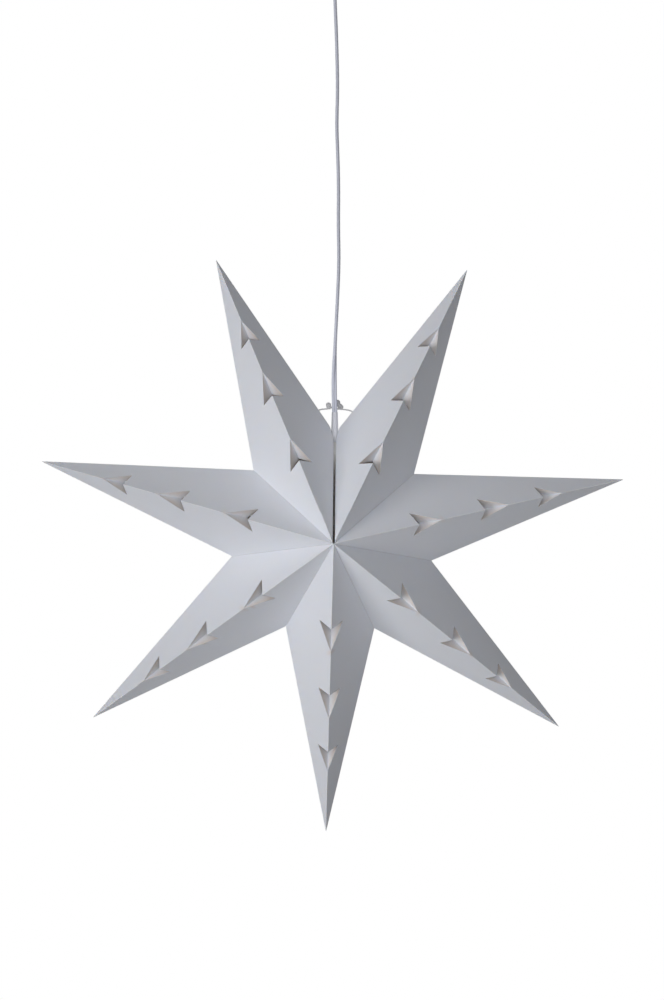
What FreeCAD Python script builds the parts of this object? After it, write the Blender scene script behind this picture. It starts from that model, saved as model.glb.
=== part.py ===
"""Folding paper star pendant: seven folded points around one fold axis, a lamp holder with its bulb,
a flat flex and a ceiling cup with a swivel ball.  Millimetres, +Z up, the front of the star faces -Y.
The origin is on the ceiling, in the middle of the bracket's upper face, and the star hangs below it."""

import FreeCAD
import Part

import math
import os

import Sketcher
from FreeCAD import Placement, Rotation, Vector

POINTS = 7
LAST_POINT = (POINTS - 1) // 2
SHELL_RIBS = 2
FLATS = 48
GLOBE_BANDS = 6
BALL_BANDS = 6
SEAT_BANDS = 3

# ---------------------------------------------------------------- driving sizes

SIZES = [
    # alias, value, what it is
    ("tip_radius", 300, "fold axis to the tip of a point"),
    ("tip_blunt", 1.2, "length of the sharp end that is trimmed off each tip"),
    ("notch_radius", 104, "fold axis to the notch between two points"),
    ("half_depth", 80, "mid plane to the front centre of the star"),
    ("paper", 0.4, "thickness of the board"),
    ("seam_gap", 0.3, "gap between two glued neighbours"),
    ("open_seam_gap", 1.8, "gap between the two free edges of the top seam"),
    ("flap_width", 9, "glue flap or hem beside each seam"),
    ("flap_end", 5, "distance of a flap's ends from the fold axis and from the notch"),
    ("star_roll", 1.4, "degrees by which the tied star hangs off plumb, clockwise from the front"),
    ("star_drop", 640, "ceiling to the fold axis"),
    ("cut_first", 79.2, "fold axis to the barbs of the first arrow cut-out"),
    ("cut_pitch", 70, "first to second cut-out"),
    ("cut_pitch_outer", 60, "second to third cut-out"),
    ("cut_length", 31, "barbs to arrow point, first and second cut-out"),
    ("cut_length_outer", 26.2, "barbs to arrow point, third cut-out"),
    ("cut_width", 23.5, "barb to barb, first cut-out"),
    ("cut_width_step", 1.6, "how much narrower each next cut-out is"),
    ("slit_setback", 7.7, "barbs to the slit's middle, first cut-out"),
    ("slit_setback_outer", 6, "barbs to the slit's middle, the other cut-outs"),
    ("eyelet_run", 26, "notch to the eyelet of a tie string, along the side crease"),
    ("eyelet_inset", 4, "side crease to the eyelet"),
    ("string_width", 1.5, "diameter of the tie string"),
    ("knot_radius", 2.4, "knot of the bow"),
    ("knot_rise", 26, "notch to the level of the knot"),
    ("knot_gap", 0.8, "flex to knot"),
    ("loop_radius", 3.4, "mean radius of a loop of the bow"),
    ("flex_width", 5.4, "width of the flat two-core flex"),
    ("flex_thickness", 3.2, "thickness of the flex"),
    ("core_width", 2.2, "diameter of one bared core"),
    ("core_spacing", 5, "between the axes of the two bared cores"),
    ("flex_clearance", 1.0, "paper to cord sleeve in the notch"),
    ("seat_gap", 0.3, "holder cap to the paper that rests on it"),
    ("sleeve_top_radius", 3.0, "cord sleeve, upper end"),
    ("sleeve_radius", 3.9, "cord sleeve, at the cap"),
    ("sleeve_height", 30, "cord sleeve above the cap"),
    ("sleeve_flange", 1.4, "flange of the sleeve under the cap, beyond the sleeve"),
    ("flange_height", 1.2, "thickness of that flange"),
    ("holder_radius", 14, "outside of the lamp holder"),
    ("holder_wall", 1.6, "wall of cap and shell"),
    ("cap_skirt", 12, "straight skirt of the cap"),
    ("shell_height", 33, "holder shell below the cap"),
    ("shell_rib", 0.8, "grip ribs of the shell, depth"),
    ("mouth_chamfer", 1.5, "chamfer of the shell's mouth"),
    ("mouth_lip", 1, "lip of the mouth, beyond the screw shell"),
    ("lip_height", 2, "thickness of that lip"),
    ("insert_height", 14, "insulating core of the holder"),
    ("thread_radius", 7.0, "inside of the brass screw shell"),
    ("brass", 0.5, "sheet brass"),
    ("fit", 0.05, "clearance of pieces that are pushed or screwed into each other"),
    ("thread_height", 20, "height of the screw shell"),
    ("thread_setback", 3, "mouth of the holder to the screw shell"),
    ("cap_overlap", 1.5, "bulb's foot contact above the screw shell"),
    ("contact_radius", 2.6, "spring contact in the middle of the holder"),
    ("contact_stem", 1.8, "rivet of that contact"),
    ("foot_seat", 4.2, "upper opening of the bulb's cap"),
    ("cap_taper", 2, "height of the bulb cap's tapered end"),
    ("collar_plug", 4, "collar inside the bulb's screw cap"),
    ("collar_lip", 0.8, "collar beyond the bulb's screw cap"),
    ("insulator_height", 1.3, "black ring round the bulb's foot contact"),
    ("foot_contact_height", 0.8, "foot contact of the bulb"),
    ("board_sheet", 1.6, "board with the light source"),
    ("lamp_clearance", 0.25, "bulb cap to screw shell"),
    ("globe_radius", 22.5, "bulb globe"),
    ("globe_wall", 1.2, "wall of the globe"),
    ("bulb_length", 78, "foot contact to the lowest point of the globe"),
    ("ball_radius", 9, "swivel ball"),
    ("ball_clearance", 0.1, "ball to its seat"),
    ("ball_depth", 46, "ceiling to the ball's centre"),
    ("flex_gap", 0.3, "ends of the flex to the ball and to the cord sleeve"),
    ("seat_lip", 6, "ball centre to the lower lip of the seat"),
    ("seat_height", 9, "height of the socket ring"),
    ("seat_wall", 3.2, "socket ring round the ball"),
    ("seat_flange", 3, "flange of the socket ring on the cup's floor"),
    ("cup_radius", 40, "ceiling cup at its rim"),
    ("cup_floor_radius", 27, "flat floor of the ceiling cup"),
    ("cup_height", 47, "ceiling cup"),
    ("cup_wall", 1.6, "wall of the ceiling cup"),
    ("cup_taper", 2, "taper of the cup's side, rim to shoulder"),
    ("cup_shoulder", 8, "height of the cup's sloping shoulder"),
    ("cup_rim_gap", 0.5, "ceiling to the rim of the cup"),
    ("bracket_width", 16, "ceiling bracket"),
    ("bracket_sheet", 2, "sheet of the ceiling bracket"),
    ("ear_drop", 12, "length of the bracket's turned-down ears"),
    ("ear_gap", 2.4, "cup to the bracket's ears"),
    ("slot_spacing", 50, "between the two screw slots"),
    ("slot_width", 4.4, "width of a screw slot"),
    ("slot_length", 10, "length of a screw slot, end to end"),
    ("cup_screw", 3, "diameter of the cup's side screws"),
    ("screw_head", 5.6, "head of the side screws"),
    ("head_height", 1.6, "height of the screw heads"),
    ("screw_clearance", 0.2, "side screw to its hole in the cup"),
    ("block_width", 18, "terminal block"),
    ("block_depth", 10, "terminal block"),
    ("block_height", 13, "terminal block"),
    ("terminal_screw", 3, "heads of the terminal screws"),
    ("grip_screw", 3, "grip screw of the ball"),
    ("bow_gap", 0.3, "knot to the other string of the bow"),
]

PLACES = [
    # alias, formula, what it is; heights count up from the fold axis unless the name says otherwise
    ("cap_top_radius", "{sleeve_radius} + {sleeve_flange}", "upper end of the cap's cone"),
    ("paper_room", "{seat_gap} + 2 * {paper}", "cone to the outside of the paper that rests on it"),
    ("cap_top", "{notch_radius} * (1 - ({cap_top_radius} + {paper_room}) / {half_depth})", "top of the cap"),
    ("cap_shoulder", "{notch_radius} * (1 - ({holder_radius} + {paper_room}) / {half_depth})", "cone's foot"),
    ("skirt_foot", "{cap_shoulder} - {cap_skirt}", "lower edge of the cap"),
    ("shell_foot", "{skirt_foot} - {shell_height}", "mouth of the holder"),
    ("sleeve_foot", "{cap_top} - {holder_wall} - {flange_height}", "flange of the cord sleeve"),
    ("sleeve_top", "{cap_top} + {sleeve_height}", "where the flex leaves the sleeve"),
    ("thread_foot", "{shell_foot} + {thread_setback}", "lower end of the screw shell"),
    ("thread_top", "{thread_foot} + {thread_height}", "upper end of the screw shell"),
    ("insert_foot", "{thread_top} - {insert_height} / 2", "lower end of the insulating core"),
    ("bulb_foot", "{thread_top} + {cap_overlap}", "foot contact of the bulb"),
    ("lamp_cap_foot", "{thread_foot}", "lower edge of the bulb's screw cap"),
    ("globe_centre", "{bulb_foot} - {bulb_length} + {globe_radius}", "centre of the globe"),
    ("mouth_radius", "{globe_radius} * 0.8", "mouth of the globe"),
    ("mouth_rise", "{globe_radius} * 0.6", "globe centre to its mouth"),
    ("collar_foot", "{globe_centre} + {mouth_rise}", "collar on the globe's mouth"),
    ("collar_rise", "{lamp_cap_foot} - {collar_foot}", "height of the collar's flare"),
    ("lamp_cap_radius", "{thread_radius} - {lamp_clearance}", "outside of the bulb's screw cap"),
    ("cone_height", "{cap_top} - {cap_shoulder}", "height of the cap's cone"),
    ("seat_outside", "{ball_radius} + {seat_wall}", "outside of the socket ring"),
    ("cup_floor_level", "-{cup_rim_gap} - {cup_height}", "lowest level of the cup, from the ceiling"),
    ("floor_inside", "-{ball_depth} - {seat_lip} + {seat_height} / 2 - {cup_floor_level}", "cup floor"),
    ("side_screw_rise", "{cup_height} - {ear_drop} + 4", "side screws above the cup's lowest level"),
    ("side_screw_level", "{cup_floor_level} + {side_screw_rise}", "side screws, from the ceiling"),
    ("ear_outside", "{cup_radius} - {cup_wall} - {ear_gap}", "middle to the outside of the bracket's ears"),
]

doc = FreeCAD.newDocument("paper_star_pendant")
sheet = doc.addObject("Spreadsheet::Sheet", "Sizes")
for row, (alias, value, note) in enumerate(SIZES, start=1):
    sheet.set("A%d" % row, str(value))
    sheet.setAlias("A%d" % row, alias)
    sheet.set("B%d" % row, note)
doc.recompute()
places = doc.addObject("Spreadsheet::Sheet", "Places")


def size(alias):
    return float(sheet.get(alias))


def cell(text):
    """An expression: each {alias} in the text becomes its cell on one of the two sheets."""
    for name, rows in (("Sizes", SIZES), ("Places", PLACES)):
        for row in rows:
            text = text.replace("{%s}" % row[0], "%s.%s" % (name, row[0]))
    return text


def worth(text):
    """The number that an expression has now."""
    return float(sheet.evalExpression(cell(text)))


for row, (alias, formula, note) in enumerate(PLACES, start=1):
    places.set("A%d" % row, "=" + cell(formula).replace("Places.", ""))
    places.setAlias("A%d" % row, alias)
    places.set("B%d" % row, note)
doc.recompute()

sector = math.pi / POINTS
notch_out = size("notch_radius") * math.cos(sector)
notch_side = size("notch_radius") * math.sin(sector)
apex_radius = size("tip_radius") + size("tip_blunt")
root_half_width = notch_side * apex_radius / (apex_radius - notch_out)
roll = math.radians(size("star_roll"))
star_centre = Vector(-size("notch_radius") * math.sin(roll), 0, -size("star_drop"))
notch_level = size("notch_radius") * math.cos(roll)

made = []


def keep(item, label, place=None):
    """Names a finished piece and puts it in its place."""
    item.Label = label
    if place is not None:
        item.Placement = place
    made.append(item)
    return item


def plain(label, shape, place=None):
    """A piece whose shape is worked out here, because no sketch or primitive has its form."""
    item = doc.addObject("Part::Feature", label)
    item.Shape = shape
    return keep(item, label, place)


# ---------------------------------------------------------------- turned pieces


def origin_plane(body, role):
    for feature in body.Origin.OriginFeatures:
        if feature.Role == role:
            return feature


def outline(body, name, corners):
    """A closed outline in the XZ plane through (radius, height) corners, each tied to the sheet."""
    sketch = body.newObject("Sketcher::SketchObject", name)
    sketch.AttachmentSupport = [(origin_plane(body, "XZ_Plane"), "")]
    sketch.MapMode = "FlatFace"
    points = [Vector(worth(radius), worth(height), 0) for radius, height in corners]
    for start, end in zip(points, points[1:] + points[:1]):
        sketch.addGeometry(Part.LineSegment(start, end), False)
    for side in range(len(corners)):
        following = (side + 1) % len(corners)
        sketch.addConstraint(Sketcher.Constraint("Coincident", side, 2, following, 1))
    for side, (radius, height) in enumerate(corners):
        spot = points[side]
        for kind, text, number in (("DistanceX", radius, spot.x), ("DistanceY", height, spot.y)):
            index = sketch.addConstraint(Sketcher.Constraint(kind, -1, 1, side, 1, number))
            if "{" in text:
                sketch.setExpression("Constraints[%d]" % index, cell(text))
    return sketch


def turned(label, corners, level):
    """A body turned about Z from a half outline, whose heights count up from its level."""
    body = doc.addObject("PartDesign::Body", label)
    sketch = outline(body, label + "_outline", corners)
    turn = body.newObject("PartDesign::Revolution", label + "_turn")
    turn.Profile = sketch
    turn.ReferenceAxis = (sketch, ["V_Axis"])
    turn.Angle = 360
    sketch.Visibility = False
    body.setExpression("Placement.Base.z", cell(level))
    doc.recompute()
    return body


def cylinder(name, radius, height, base, turn=None):
    """A Part cylinder whose sizes and foot (x, y, z) are expressions."""
    item = doc.addObject("Part::Cylinder", name)
    item.setExpression("Radius", cell(radius))
    item.setExpression("Height", cell(height))
    if turn is not None:
        item.Placement = Placement(Vector(), turn)
    for axis, text in zip("xyz", base):
        item.setExpression("Placement.Base.%s" % axis, cell(text))
    return item


def block(name, sides, corner):
    """A Part box whose sides and lowest corner are expressions."""
    item = doc.addObject("Part::Box", name)
    for side, text in zip(("Length", "Width", "Height"), sides):
        item.setExpression(side, cell(text))
    for axis, text in zip("xyz", corner):
        item.setExpression("Placement.Base.%s" % axis, cell(text))
    return item


def joined(name, items):
    item = doc.addObject("Part::MultiFuse", name)
    item.Shapes = items
    return item


def less(name, base, tools):
    item = doc.addObject("Part::Cut", name)
    item.Base = base
    item.Tool = tools[0] if len(tools) == 1 else joined(name + "_tools", tools)
    return item


def in_flats(corners, level):
    """A solid turned about Z in equal flats, from a half outline like those of turned() and its level."""
    turns = [2 * math.pi * (flat + 0.5) / FLATS for flat in range(FLATS)]
    rings = []
    for corner in corners:
        radius, height = [worth(text) if isinstance(text, str) else text for text in corner]
        rings.append([Vector(radius * math.cos(turn), radius * math.sin(turn), height) for turn in turns])
    faces = []
    for below, above in zip(rings, rings[1:] + rings[:1]):
        for flat in range(FLATS):
            around = [below[flat], below[flat - 1], above[flat - 1], above[flat]]
            spots = [spot for spot, before in zip(around, around[-1:] + around) if not spot.isEqual(before, 1e-6)]
            if len(spots) > 2:
                faces.append(spots)
    shape = outward(solid(faces)).removeSplitter()
    shape.translate(Vector(0, 0, worth(level)))
    return shape


def arc_corners(radius, start, end, bands):
    """Corners of an arc about the middle of a turned outline, with its ends at two heights."""
    low, high = math.asin(start / radius), math.asin(end / radius)
    turns = [low + (high - low) * band / bands for band in range(bands + 1)]
    return [(radius * math.cos(turn), radius * math.sin(turn)) for turn in turns]


ALONG_X = Rotation(Vector(0, 1, 0), 90)
ALONG_Y = Rotation(Vector(1, 0, 0), -90)

# ---------------------------------------------------------------- folded points


def solid(faces):
    """A solid with flat faces, each given by its corners."""
    shell = Part.Shell([Part.Face(Part.makePolygon(corners + corners[:1])) for corners in faces])
    return Part.Solid(shell)


def outward(shape):
    """The same solid with a positive volume."""
    if shape.Volume < 0:
        shape = shape.reversed()
    return shape


def pyramid():
    """The point's outer skin: a rhombus across the fold axis, drawn out to the tip along +X."""
    depth = size("half_depth")
    wide = root_half_width
    ring = [Vector(0, -depth, 0), Vector(0, 0, wide), Vector(0, depth, 0), Vector(0, 0, -wide)]
    apex = Vector(apex_radius, 0, 0)
    sides = [[start, end, apex] for start, end in zip(ring, ring[1:] + ring[:1])]
    return outward(solid(sides + [ring]))


def tetrahedron(a, b, c, d):
    return outward(solid([[a, b, c], [a, b, d], [b, c, d], [c, a, d]]))


def shrunk(shape, about, factor):
    """A copy scaled about a point."""
    copy = shape.copy()
    copy.scale(factor, about)
    return copy


def prism(corners):
    """A prism along the fold axis over an outline of (out, side) corners, deeper than the star."""
    reach = size("half_depth") + 5
    points = [Vector(out, -reach, side) for out, side in corners]
    face = Part.Face(Part.makePolygon(points + points[:1]))
    return outward(face.extrude(Vector(0, 2 * reach, 0)))


def seam_line(out, gap, side):
    """The side coordinate of a seam face, at a distance out, drawn back from the sector's plane by a gap."""
    return side * (out * math.sin(sector) - gap) / math.cos(sector)


def wedge(gap_low, gap_high):
    """The room of one point between its two seams."""
    far = apex_radius + 20
    root = (gap_low + gap_high) / (2 * math.sin(sector))
    corners = [(root, seam_line(root, gap_high, 1)), (far, seam_line(far, gap_high, 1))]
    return prism(corners + [(far, seam_line(far, gap_low, -1))])


def seam_strip(gap, side):
    """The strip beside one seam that a glue flap or a hem covers."""
    start = size("flap_end") + size("flap_width")
    end = notch_out - size("flap_end")
    inner = gap + size("flap_width") * math.cos(sector)
    corners = [(start, seam_line(start, gap, side)), (end, seam_line(end, gap, side))]
    return prism(corners + [(end, seam_line(end, inner, side)), (start, seam_line(start, inner, side))])


def skin_depth():
    """The distance from the middle of the root rhombus to each of the four panels."""
    sizes = (size("half_depth"), root_half_width, apex_radius)
    return 1 / math.sqrt(sum(1 / reach**2 for reach in sizes))


def ridge_depth(out):
    return size("half_depth") * (1 - out / apex_radius)


def cut_out(barbs, length, width, setback, side):
    """One arrow cut-out on the front (side -1) or back (+1) ridge: the ridge piece that goes,
    and the tongue that is pushed in, which mirrors it in the plane through its two fold lines."""
    slope = size("half_depth") / root_half_width
    level = ridge_depth(barbs) - slope * width / 2
    barb = Vector(barbs, side * level, width / 2)
    other = Vector(barbs, side * level, -width / 2)
    middle = Vector(barbs, side * level, 0)
    slit = Vector(barbs + setback, side * ridge_depth(barbs + setback), 0)
    arrow = Vector(barbs + length, side * ridge_depth(barbs + length), 0)
    normal = (arrow - middle).cross(Vector(0, 0, 1)).normalize()
    pushed = slit - normal * (2 * (slit - middle).dot(normal))
    gone = tetrahedron(barb, other, arrow, slit + (slit - middle) * 0.2)
    hollow = tetrahedron(barb, other, arrow, pushed)
    face_normal = (barb - arrow).cross(pushed - arrow).normalize()
    reach = abs((middle - arrow).dot(face_normal))
    tongue = shrunk(hollow, middle, 1 + size("paper") / reach).cut(hollow)
    return gone, tongue


def cut_outs():
    """The three cut-outs of a ridge, from the fold axis outwards, as (barbs, length, width, setback)."""
    first = size("cut_first")
    second = first + size("cut_pitch")
    third = second + size("cut_pitch_outer")
    width, step = size("cut_width"), size("cut_width_step")
    near, outer = size("slit_setback"), size("slit_setback_outer")
    return [
        (first, size("cut_length"), width, near),
        (second, size("cut_length"), width - step, outer),
        (third, size("cut_length_outer"), width - 2 * step, outer),
    ]


def point_angle(number):
    """Direction of a point from the fold axis, in degrees from +X towards +Z."""
    return -90 + number * 360 / POINTS - size("star_roll")


def point_place(number):
    return Placement(star_centre, Rotation(Vector(0, 1, 0), -point_angle(number)))


def folded_point(number):
    """One folded sheet, drawn along +X from the fold axis, with its front towards -Y."""
    low_gap = size("open_seam_gap") / 2 if number == -LAST_POINT else size("seam_gap") / 2
    high_gap = size("open_seam_gap") / 2 if number == LAST_POINT else size("seam_gap") / 2
    skin = pyramid()
    room = wedge(low_gap, high_gap)
    trim = Part.makeBox(size("tip_radius"), 2 * size("half_depth"), 2 * notch_side)
    trim.translate(Vector(0, -size("half_depth"), -notch_side))
    one_in = shrunk(skin, Vector(), 1 - size("paper") / skin_depth())
    two_in = shrunk(skin, Vector(), 1 - 2 * size("paper") / skin_depth())
    body = skin.common(room).common(trim)
    board = body.cut(one_in)
    flaps = [one_in.cut(two_in).common(seam_strip(low_gap, -1))]
    if number == LAST_POINT:
        flaps.append(one_in.cut(two_in).common(seam_strip(high_gap, 1)))
    tongues = []
    for side in (-1, 1):
        for barbs, length, width, setback in cut_outs():
            gone, tongue = cut_out(barbs, length, width, setback, side)
            board = board.cut(gone)
            tongues.append(tongue.common(skin))
    board = board.fuse(flaps + tongues)
    if abs(number) == LAST_POINT:
        board = board.cut(flex_room(number))
    return board.removeSplitter()


def flex_room(number):
    """Where the flex and its sleeve pass through the notch: a round hole along the vertical."""
    into = point_place(number).inverse()
    foot = into.multVec(Vector(0, 0, -size("star_drop")))
    up = into.Rotation.multVec(Vector(0, 0, 1))
    return Part.makeCylinder(size("sleeve_radius") + size("flex_clearance"), size("tip_radius"), foot, up)


POINT_NAMES = {
    0: "point_bottom",
    1: "point_lower_right",
    2: "point_right",
    3: "point_upper_right",
    -1: "point_lower_left",
    -2: "point_left",
    -3: "point_upper_left",
}
for number, name in POINT_NAMES.items():
    plain(name, folded_point(number), point_place(number))

# ---------------------------------------------------------------- tie strings


def eyelet(number, side):
    """The eyelet on the back panel beside the free edge, and the panel's outward normal."""
    notch = Vector(notch_out, 0, side * notch_side)
    tip = Vector(apex_radius, 0, 0)
    back = Vector(0, size("half_depth"), 0)
    along = (tip - notch).normalize()
    normal = (tip - notch).cross(back - notch).normalize()
    if normal.y < 0:
        normal = -normal
    inward = (back - notch) - along * (back - notch).dot(along)
    spot = notch + along * size("eyelet_run") + inward.normalize() * size("eyelet_inset")
    place = point_place(number)
    return place.multVec(spot), place.Rotation.multVec(normal)


def ring_corners(radius, sides):
    """The corners of a regular polygon in the XZ plane."""
    angles = [2 * math.pi * side / sides for side in range(sides)]
    return [Vector(radius * math.cos(angle), 0, radius * math.sin(angle)) for angle in angles]


def knot(radius, centre):
    """A knot, as an octagonal lump drawn out along Y."""
    corners = ring_corners(radius, 8)
    lump = Part.Face(Part.makePolygon(corners + corners[:1])).extrude(Vector(0, 1.6 * radius, 0))
    lump.translate(centre - Vector(0, 0.8 * radius, 0))
    return outward(lump)


def bow_loop(thin, centre):
    """A loop of the string, as a ten-sided ring as thick as the string."""
    outer = ring_corners(size("loop_radius") + thin, 10)
    inner = ring_corners(size("loop_radius") - thin, 10)
    wires = [Part.makePolygon(corners + corners[:1]) for corners in (outer, inner)]
    ring = Part.Face(wires[0]).cut(Part.Face(wires[1])).extrude(Vector(0, 2 * thin, 0))
    ring.translate(centre - Vector(0, thin, 0))
    return ring


def straight_string(thin, start, run):
    """A straight run of the string, as a prism of hexagonal section."""
    turn = Rotation(Vector(0, 1, 0), run)
    corners = [start + turn.multVec(corner) for corner in ring_corners(thin, 6)]
    return outward(Part.Face(Part.makePolygon(corners + corners[:1])).extrude(run))


def tie(label, number, side, with_knot):
    """A tie string from its eyelet to the bow behind the flex, with its loop and perhaps the knot."""
    thin = size("string_width") / 2
    spot, normal = eyelet(number, side)
    behind = size("flex_width") / 2 + size("knot_gap") + size("knot_radius")
    knot_at = Vector(0, behind, size("notch_radius") + size("knot_rise") - size("star_drop"))
    bead_at = spot + normal * (2 * thin)
    run = knot_at - bead_at
    if with_knot:
        short = 0
        loop_out = size("knot_radius") + size("loop_radius") - thin / 2
    else:
        short = size("knot_radius") + thin + size("bow_gap")
        loop_out = size("knot_radius") + size("loop_radius") + thin + size("bow_gap")
    string = straight_string(thin, bead_at, run * (1 - short / run.Length))
    parts = [string, bow_loop(thin, knot_at + Vector(side * loop_out, 0, thin))]
    if with_knot:
        parts.append(knot(size("knot_radius"), knot_at))
    plain(label, knot(thin * 1.6, bead_at).fuse(parts).removeSplitter())


tie("tie_string_right", LAST_POINT, 1, True)
tie("tie_string_left", -LAST_POINT, -1, False)

# ---------------------------------------------------------------- lamp holder and bulb


def above_star(height):
    """A level from the ceiling, for a height above the fold axis."""
    return "%s - {star_drop}" % height


plain(
    "cord_sleeve",
    in_flats(
        [
            ("0", "0"),
            ("{cap_top_radius}", "0"),
            ("{cap_top_radius}", "{flange_height}"),
            ("{sleeve_radius}", "{flange_height}"),
            ("{sleeve_radius}", "{flange_height} + {holder_wall} + 2"),
            ("{sleeve_top_radius}", "{flange_height} + {holder_wall} + {sleeve_height}"),
            ("0", "{flange_height} + {holder_wall} + {sleeve_height}"),
        ],
        above_star("{sleeve_foot}"),
    ),
)

plain(
    "holder_cap",
    in_flats(
        [
            ("{holder_radius} - {holder_wall}", "0"),
            ("{holder_radius}", "0"),
            ("{holder_radius}", "{cap_skirt}"),
            ("{cap_top_radius}", "{cap_skirt} + {cone_height}"),
            ("{sleeve_radius} + {fit}", "{cap_skirt} + {cone_height}"),
            ("{sleeve_radius} + {fit}", "{cap_skirt} + {cone_height} - {holder_wall}"),
            ("{cap_top_radius} + {fit}", "{cap_skirt} + {cone_height} - {holder_wall}"),
            ("{cap_top_radius} + {fit}", "{cap_skirt} + {cone_height} - {holder_wall} - {flange_height}"),
            ("{holder_radius} - {holder_wall}", "{cap_skirt} - {holder_wall}"),
        ],
        above_star("{skirt_foot}"),
    ),
)

shell_corners = [
    ("{thread_radius} + {brass} + {mouth_lip}", "0"),
    ("{holder_radius} - {mouth_chamfer}", "0"),
    ("{holder_radius}", "2 * {mouth_chamfer}"),
]
for rib in range(SHELL_RIBS):
    foot = "{shell_height} * %.2f" % (0.25 + 0.3 * rib)
    rise = "{shell_height} * %.2f" % (0.4 + 0.3 * rib)
    shell_corners += [
        ("{holder_radius}", foot),
        ("{holder_radius} - {shell_rib}", "%s + {shell_height} * 0.02" % foot),
        ("{holder_radius} - {shell_rib}", "%s - {shell_height} * 0.02" % rise),
        ("{holder_radius}", rise),
    ]
shell_corners += [
    ("{holder_radius}", "{shell_height}"),
    ("{holder_radius} - {holder_wall} - {fit}", "{shell_height}"),
    ("{holder_radius} - {holder_wall} - {fit}", "{shell_height} + {cap_skirt} / 2"),
    ("{holder_radius} - 2 * {holder_wall}", "{shell_height} + {cap_skirt} / 2"),
    ("{holder_radius} - 2 * {holder_wall}", "{lip_height}"),
    ("{thread_radius} + {brass} + {mouth_lip}", "{lip_height}"),
]
plain("holder_shell", in_flats(shell_corners, above_star("{shell_foot}")))

plain(
    "holder_insert",
    in_flats(
        [
            ("{thread_radius} + {brass} + {fit}", "0"),
            ("{holder_radius} - 2 * {holder_wall} - {fit}", "0"),
            ("{holder_radius} - 2 * {holder_wall} - {fit}", "{insert_height}"),
            ("{contact_stem} + {fit}", "{insert_height}"),
            ("{contact_stem} + {fit}", "{insert_height} - 3"),
            ("{thread_radius} + {brass} + {fit}", "{insert_height} - 3"),
        ],
        above_star("{insert_foot}"),
    ),
)

thread_corners = [
    ("{thread_radius}", "0"),
    ("{thread_radius} + {brass}", "0"),
    ("{thread_radius} + {brass}", "{thread_height}"),
    ("{thread_radius}", "{thread_height}"),
]
keep(turned("screw_shell", thread_corners, above_star("{thread_foot}")), "screw_shell")

keep(
    turned(
        "centre_contact",
        [
            ("0", "0"),
            ("{contact_stem} - 0.4", "0"),
            ("{contact_radius}", "{brass}"),
            ("{contact_radius}", "2 * {brass}"),
            ("{contact_stem}", "2 * {brass}"),
            ("{contact_stem}", "{insert_height} / 2 - {cap_overlap}"),
            ("0", "{insert_height} / 2 - {cap_overlap}"),
        ],
        above_star("{bulb_foot}"),
    ),
    "centre_contact",
)

plain(
    "bulb_cap",
    in_flats(
        [
            ("{lamp_cap_radius} - {brass}", "0"),
            ("{lamp_cap_radius}", "0"),
            ("{lamp_cap_radius}", "{thread_height} - {cap_taper}"),
            ("{foot_seat}", "{thread_height}"),
            ("{foot_seat} - {brass}", "{thread_height}"),
            ("{lamp_cap_radius} - {brass}", "{thread_height} - {cap_taper} - {brass}"),
        ],
        above_star("{lamp_cap_foot}"),
    ),
)

insulator_corners = [
    ("0", "0"),
    ("{foot_seat} - {brass} - {fit}", "0"),
    ("{foot_seat} - {brass} - {fit}", "{insulator_height} / 2"),
    ("{contact_radius}", "{insulator_height}"),
    ("0", "{insulator_height}"),
]
insulator_level = above_star("{bulb_foot} - {foot_contact_height} - {insulator_height}")
keep(turned("bulb_insulator", insulator_corners, insulator_level), "bulb_insulator")

foot_corners = [
    ("0", "0"),
    ("{contact_radius} - 0.3", "0"),
    ("{contact_stem} - 0.3", "{foot_contact_height}"),
    ("0", "{foot_contact_height}"),
]
keep(turned("bulb_contact", foot_corners, above_star("{bulb_foot} - {foot_contact_height}")), "bulb_contact")

plain(
    "bulb_collar",
    in_flats(
        [
            ("0", "0"),
            ("{mouth_radius}", "0"),
            ("{mouth_radius} - 1", "{collar_rise} * 0.3"),
            ("{lamp_cap_radius} + {collar_lip}", "{collar_rise} * 0.8"),
            ("{lamp_cap_radius}", "{collar_rise}"),
            ("{lamp_cap_radius} - {brass} - {fit}", "{collar_rise}"),
            ("{lamp_cap_radius} - {brass} - {fit}", "{collar_rise} + {collar_plug}"),
            ("0", "{collar_rise} + {collar_plug}"),
        ],
        above_star("{collar_foot}"),
    ),
)

globe_radius = size("globe_radius")
globe_inside = globe_radius - size("globe_wall")
mouth_rise = worth("{mouth_rise}")
globe_corners = arc_corners(globe_radius, -globe_radius, mouth_rise, GLOBE_BANDS)
globe_corners += arc_corners(globe_inside, mouth_rise, -globe_inside, GLOBE_BANDS)
plain("bulb_globe", in_flats(globe_corners, above_star("{globe_centre}")))

led_corners = [
    ("0", "0"),
    ("{mouth_radius} - 4", "0"),
    ("{mouth_radius} - 4", "{board_sheet}"),
    ("0", "{board_sheet}"),
]
keep(turned("led_board", led_corners, above_star("{collar_foot} - {board_sheet}")), "led_board")

# ---------------------------------------------------------------- flex

flex_foot = worth(above_star("{sleeve_top} + {flex_gap}"))
flex_head = worth("-{ball_depth} - {ball_radius} - {flex_gap}")
star_level = -size("star_drop")

# the route of the flex, as (sideways, height above the fold axis), chosen by hand
FLEX_ROUTE = [
    (-0.9, 152),
    (0.1, 190),
    (2.3, 231),
    (4.4, 276),
    (3.5, 313),
    (3.9, 351),
    (2.9, 387),
    (1.8, 414),
    (3.0, 450),
    (1.7, 503),
    (-0.3, 545),
]
route = [Vector(0, 0, flex_foot)]
route += [Vector(sideways, 0, height + star_level) for sideways, height in FLEX_ROUTE]
route += [Vector(0, 0, flex_head)]


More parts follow.
